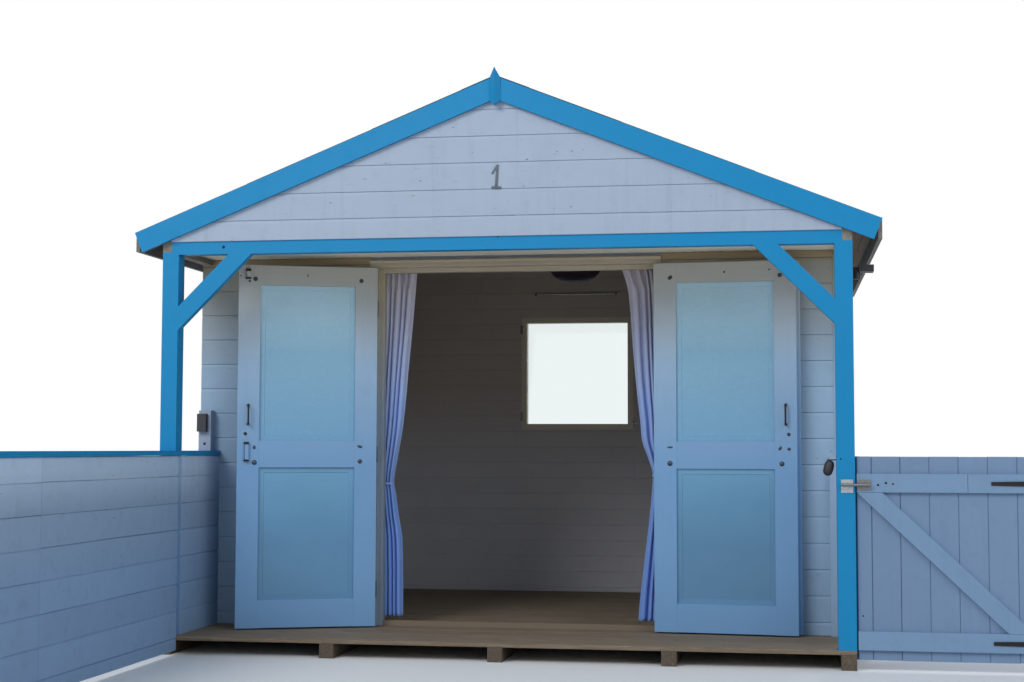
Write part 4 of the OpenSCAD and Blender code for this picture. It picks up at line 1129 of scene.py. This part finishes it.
def curtain(name, hand, free_edge, tie_z, shares, lean):
    """One gathered curtain of wide soft folds that overlap. shares are the folds' parts of its width."""
    low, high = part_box(name)
    top, hem = high.z, low.z
    centre_y = (low.y + high.y) / 2
    outer = (low.x + 0.004) if hand < 0 else (high.x - 0.004)
    folds, fine, down = len(shares), 22, 110
    seed = 3 if hand < 0 else 8
    starts = [sum(shares[:k]) for k in range(folds)]
    points, uvs = [], []
    across = folds * fine
    for j in range(down + 1):
        z = top + (hem - top) * j / down
        width = abs(outer - eased(free_edge, z))
        header = 1 - smooth((top - z - HEADING) / HEADING_FADE)
        pleats = 0.3 * header
        pinch = exp(-((z - tie_z) / TIE_REACH) ** 2)
        line = []
        for i in range(across + 1):
            k = min(i // fine, folds - 1)
            phase = 2 * pi * (i - k * fine) / fine
            w = shares[k] * width
            x = starts[k] * width + w * phase / (2 * pi)
            x += w * (0.03 * sin(2 * phase) + (0.19 * header - 0.08) * sin(phase))
            crest = rounded(-cos(phase), 0.75)
            deep = FOLD_DEEP * (0.93 + 0.07 * noise.noise((k * 5.1, z * 0.7, seed + 2)))
            y = -((1 - pleats) * crest - pleats * cos(3 * phase)) * deep * (1 - 0.1 * pinch)
            x += lean * (0.85 + 0.3 * noise.noise((k * 2.3, z * 1.1, seed + 4))) * -y * (1 - 0.4 * pinch)
            x += 0.003 * header * sin(phase * 2 + 2 * k)
            x += 0.005 * noise.noise((i * 0.04, z * 2, seed + 5)) * (1 - pinch)
            sag = 0.006 * noise.noise((i * 0.06, 1, seed)) * (j / down) ** 6
            line.append((x, centre_y + y, z + (sag - 0.004 * header * abs(sin(phase * 2)))))
        least, most = min(q[0] for q in line), max(q[0] for q in line)
        for i, (x, y, up) in enumerate(line):
            x = (x - least) * width / (most - least)
            points.append((outer - hand * x, min(max(y, low.y), high.y), min(up, high.z)))
            uvs.append((FLAT_W * i / across, top - z))
    row = across + 1
    faces = [[j * row + i, j * row + i + 1, (j + 1) * row + i + 1, (j + 1) * row + i]
             for j in range(down) for i in range(across)]
    cloth = soft_mesh(name + "_cloth", points, faces, uvs, 0.0008)
    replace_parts(cloth, name)

    # The tie: a band of the same cotton round the waist
    inner = eased(free_edge, tie_z)
    mid_x, half_x, half_y = (outer + inner) / 2, abs(outer - inner) / 2 + 0.0015, 0.0265
    count, rings, ring = 40, 5, []
    for c, s in circle(count):
        x, y = rounded(c, 0.55) * half_x, rounded(s, 0.55) * half_y
        ring.append((mid_x + x, centre_y + y, tie_z + 0.1 * (x * hand)))
    points, uvs = [], []
    for k in range(rings):
        up = (k - 2) * 0.003
        swell = 0.0008 * cos(pi / 2 * (k - 2) / 2)
        for i, (x, y, z) in enumerate(ring):
            points.append((x + copysign(swell, x - mid_x), y, z + up))
            uvs.append((0.3 * i / count, 1 + up))
    band = soft_mesh(name + "_tie", points, ring_faces(count, rings), uvs, 0.0012)


def soft_mesh(name, points, faces, uvs, thickness):
    """A cotton surface with its own cloth coordinates and a thickness."""
    mesh = bpy.data.meshes.new(name)
    mesh.from_pydata(points, [], faces)
    layer = mesh.uv_layers.new(name="UVMap")
    for loop in mesh.loops:
        layer.data[loop.index].uv = uvs[loop.vertex_index]
    mesh.shade_smooth()
    mesh.materials.append(cotton)
    thing = add_object(name, mesh)
    thick = thing.modifiers.new("thickness", "SOLIDIFY")
    thick.thickness, thick.offset = thickness, 0
    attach(thing, "hut")
    return thing


for name, facts in CURTAINS.items():
    curtain(name, *facts)


# Small things

TO_FRONT = Vector((0, -1, 0))
FACE_Y = POST_Y - BOARD_T

# A plain numeral on the gable, cut from sheet iron
STROKE = [
    (-0.022, 2.492), (0.006, 2.536), (0.017, 2.536), (0.01, 2.424), (0.03, 2.422), (0.029, 2.411),
    (-0.022, 2.413), (-0.021, 2.424), (-0.003, 2.424), (0.003, 2.516), (-0.016, 2.486),
]
numeral = Piece()
corners = [(x, y, z) for y in (FACE_Y - 0.004, FACE_Y + 0.001) for x, z in STROKE]
numeral.solid(corners, closed_faces(len(STROKE), 2))
numeral.finish("gable_numeral", numeral_steel)

# Nails, screws and a bolt that show as dark marks
marks = Piece()
head(marks, (0.0113, POST_Y, 2.163), TO_FRONT, 0.004, 0.002, 8)
head(marks, (-1.4598, POST_Y, 2.1372), TO_FRONT, 0.0085, 0.004)
head(marks, (0.0845, FACE_Y + 0.0052, 2.2735), TO_FRONT, 0.0028, 0.0015, 10, 7)
head(marks, (1.7265, POST_Y, 1.0307), TO_FRONT, 0.0045, 0.002, 8)
marks.finish("front_nails", black_iron)
gate_marks = Piece()
for x, z, radius in ((1.9043, 0.9042, 0.006), (1.9427, 0.9142, 0.006), (1.976, 0.9095, 0.005)):
    head(gate_marks, (x, LEDGE_Y, z), TO_FRONT, radius, 0.0025, 10)
head(gate_marks, (1.8274, GATE[0].y, 0.2647), TO_FRONT, 0.0045, 0.002, 8)
gate_marks.finish("gate_screws", black_iron, "gate")

# Rubber body of the padlock that hangs beside the right post
LOCK_AT, LOCK_R, LOCK_HALF = Vector((1.669, -1.818, 0.986)), 0.0245, 0.039
hang = Matrix.Rotation(radians(15), 3, "Y")
turns = [pi * (k / 14 - 0.5) for k in range(15)]
cover = Piece()
cover.lathe([(max(cos(a), 0.002) ** 0.8, rounded(sin(a), 0.7)) for a in turns],
            lambda x, y, h: LOCK_AT + hang @ Vector((LOCK_R * x, LOCK_R * y, LOCK_HALF * h)), 24)
cover.finish("padlock_cover", rubber)

# Painted nail heads in rows where the boards cross their studs
NAIL_UP, NAIL_R, NAIL_H = 0.03, 0.0035, 0.0006
nails = Piece()
for x in (-1.45, -0.9, -0.3, 0.3, 0.9, 1.45):
    for up0, up1 in rows(BEAM_TOP, GABLE_TOP, GABLE_LINE_Z):
        if abs(x) < (APEX_Z - ROOF_V - up1) / SLOPE - 0.05:
            head(nails, (x + rng.uniform(-0.004, 0.004), FACE_Y, up0 + NAIL_UP), TO_FRONT, NAIL_R, NAIL_H, 6)
walls = [(x, BACK_Y + BOARD_T, (0, 1, 0)) for x in (-1.45, -0.9, 0.9, 1.45)]
studs_y = (-1.15, -0.58, 0, 0.58, 1.15)
walls += [(sign * (HALF + BOARD_T), y, (sign, 0, 0)) for sign in (-1, 1) for y in studs_y]
for x, y, out in walls:
    for up0, up1 in rows(FLOOR_Z, SOFFIT_Z, LINE_Z):
        head(nails, (x, y, up0 + NAIL_UP), out, NAIL_R, NAIL_H, 6)
nails.finish("board_nails", painted_head)

# Window: hinges on the left, a latch on the right and the knobs of the rod above it
HINGE_X, HINGE_W, HINGE_HALF = -0.338, 0.014, 0.03
LATCH_X, LATCH_Z, LATCH_HALF = 0.455, 1.262, 0.015
lip_y = WIN[0].y
fittings = Piece()
for z in (1.905, 1.3):
    ends = (z - HINGE_HALF, z + HINGE_HALF)
    fittings.bar((HINGE_X - HINGE_W, HINGE_X, *ends), lip_y - 0.003, lip_y, y_run, 0.001, ())
    fittings.tube([(HINGE_X, lip_y - 0.003, end) for end in ends], [0.0035] * 2, 8)
fittings.bar((LATCH_X - LATCH_HALF, LATCH_X + 0.013, LATCH_Z - LATCH_HALF, LATCH_Z + LATCH_HALF),
             lip_y - 0.004, lip_y + 0.002, y_run, 0.001, ())
lever = [(LATCH_X, lip_y - 0.003, LATCH_Z), (LATCH_X, lip_y - 0.016, LATCH_Z),
         (LATCH_X - 0.025, lip_y - 0.018, LATCH_Z + 0.004)]
fittings.tube(lever, [0.006, 0.005, 0.004], 10)
for rod_end in (-0.2356, 0.3232):
    fittings.lathe([(0.0001, -0.01)] + ball(0.0095, 0.0001)[1:],
                   lambda x, y, h: (rod_end + h, 1.115 + x, 2.147 + y), 12)
fittings.finish("window_fittings", dull_steel)


# Camera, floor and light

# The camera's place, its turn to the left, upwards and about its axis, and its focal length in picture widths
EYE = (1.4323, -10.0377, 1.08)
YAW, TILT, ROLL = radians(9.351), radians(3.773), radians(0.13)
FOCAL, SENSOR = 1625.6 / 1024, 36
camera_data = bpy.data.cameras.new("camera")
camera = add_object("camera", camera_data)
ahead = Vector((-sin(YAW) * cos(TILT), cos(YAW) * cos(TILT), sin(TILT)))
level = Vector((cos(YAW), sin(YAW), 0))
upright = level.cross(ahead)
right = cos(ROLL) * level + sin(ROLL) * upright
above = -sin(ROLL) * level + cos(ROLL) * upright
turn = Matrix((right, above, -ahead)).transposed().to_4x4()
camera.matrix_world = Matrix.Translation(EYE) @ turn
camera_data.sensor_width = SENSOR
camera_data.lens = FOCAL * SENSOR
camera_data.clip_start, camera_data.clip_end = 0.1, 300
bpy.context.scene.camera = camera


def seen_directly(g):
    """1 where the camera looks straight, or through glass, or at a reflection."""
    path = g.add("LightPath").outputs
    either = g.math("MAXIMUM", path["Is Camera Ray"], path["Is Glossy Ray"])
    return g.math("MAXIMUM", either, path["Is Transmission Ray"])


floor_graph = new_graph("floor_pale")
tone = floor_graph.mix(seen_directly(floor_graph), (234, 230, 222), (238, 239, 240))
floor_mesh = bpy.data.meshes.new("floor")
FAR = 60
floor_mesh.from_pydata([(-FAR, -FAR, 0), (FAR, -FAR, 0), (FAR, FAR, 0), (-FAR, FAR, 0)], [], [[0, 1, 2, 3]])
floor_mesh.materials.append(floor_graph.surface(Base_Color=tone, Roughness=0.9))
ground = add_object("floor", floor_mesh)

studio = Graph(bpy.data.worlds.new("studio"))
bpy.context.scene.world = studio.owner
dim = studio.add("Background", {0: (0.82, 0.9, 1, 1), 1: 0.42}).outputs[0]
plain = studio.add("Background", {0: (1, 1, 1, 1), 1: 1}).outputs[0]
lit = studio.add("MixShader", {0: seen_directly(studio), 1: dim, 2: plain}).outputs[0]
studio.add("OutputWorld", {0: lit})


def softbox(name, place, aim, size, power, colour=(1, 1, 1)):
    """A large soft lamp that looks at a point."""
    data = bpy.data.lights.new(name, "AREA")
    data.shape, data.size, data.energy, data.color = "DISK", size, power, colour
    lamp = add_object(name, data)
    lamp.location = place
    lamp.rotation_mode = "QUATERNION"
    lamp.rotation_quaternion = (Vector(aim) - Vector(place)).to_track_quat("-Z", "Y")


softbox("key", (-5, -11, 8), (0, -1, 1.4), 6, 640)
softbox("fill", (7, -8, 5), (0.5, -1, 1.2), 7, 190, (0.92, 0.96, 1))
softbox("back", (3, 9, 7), (0, 0, 2), 6, 500)

bpy.context.scene.view_settings.view_transform = "Standard"
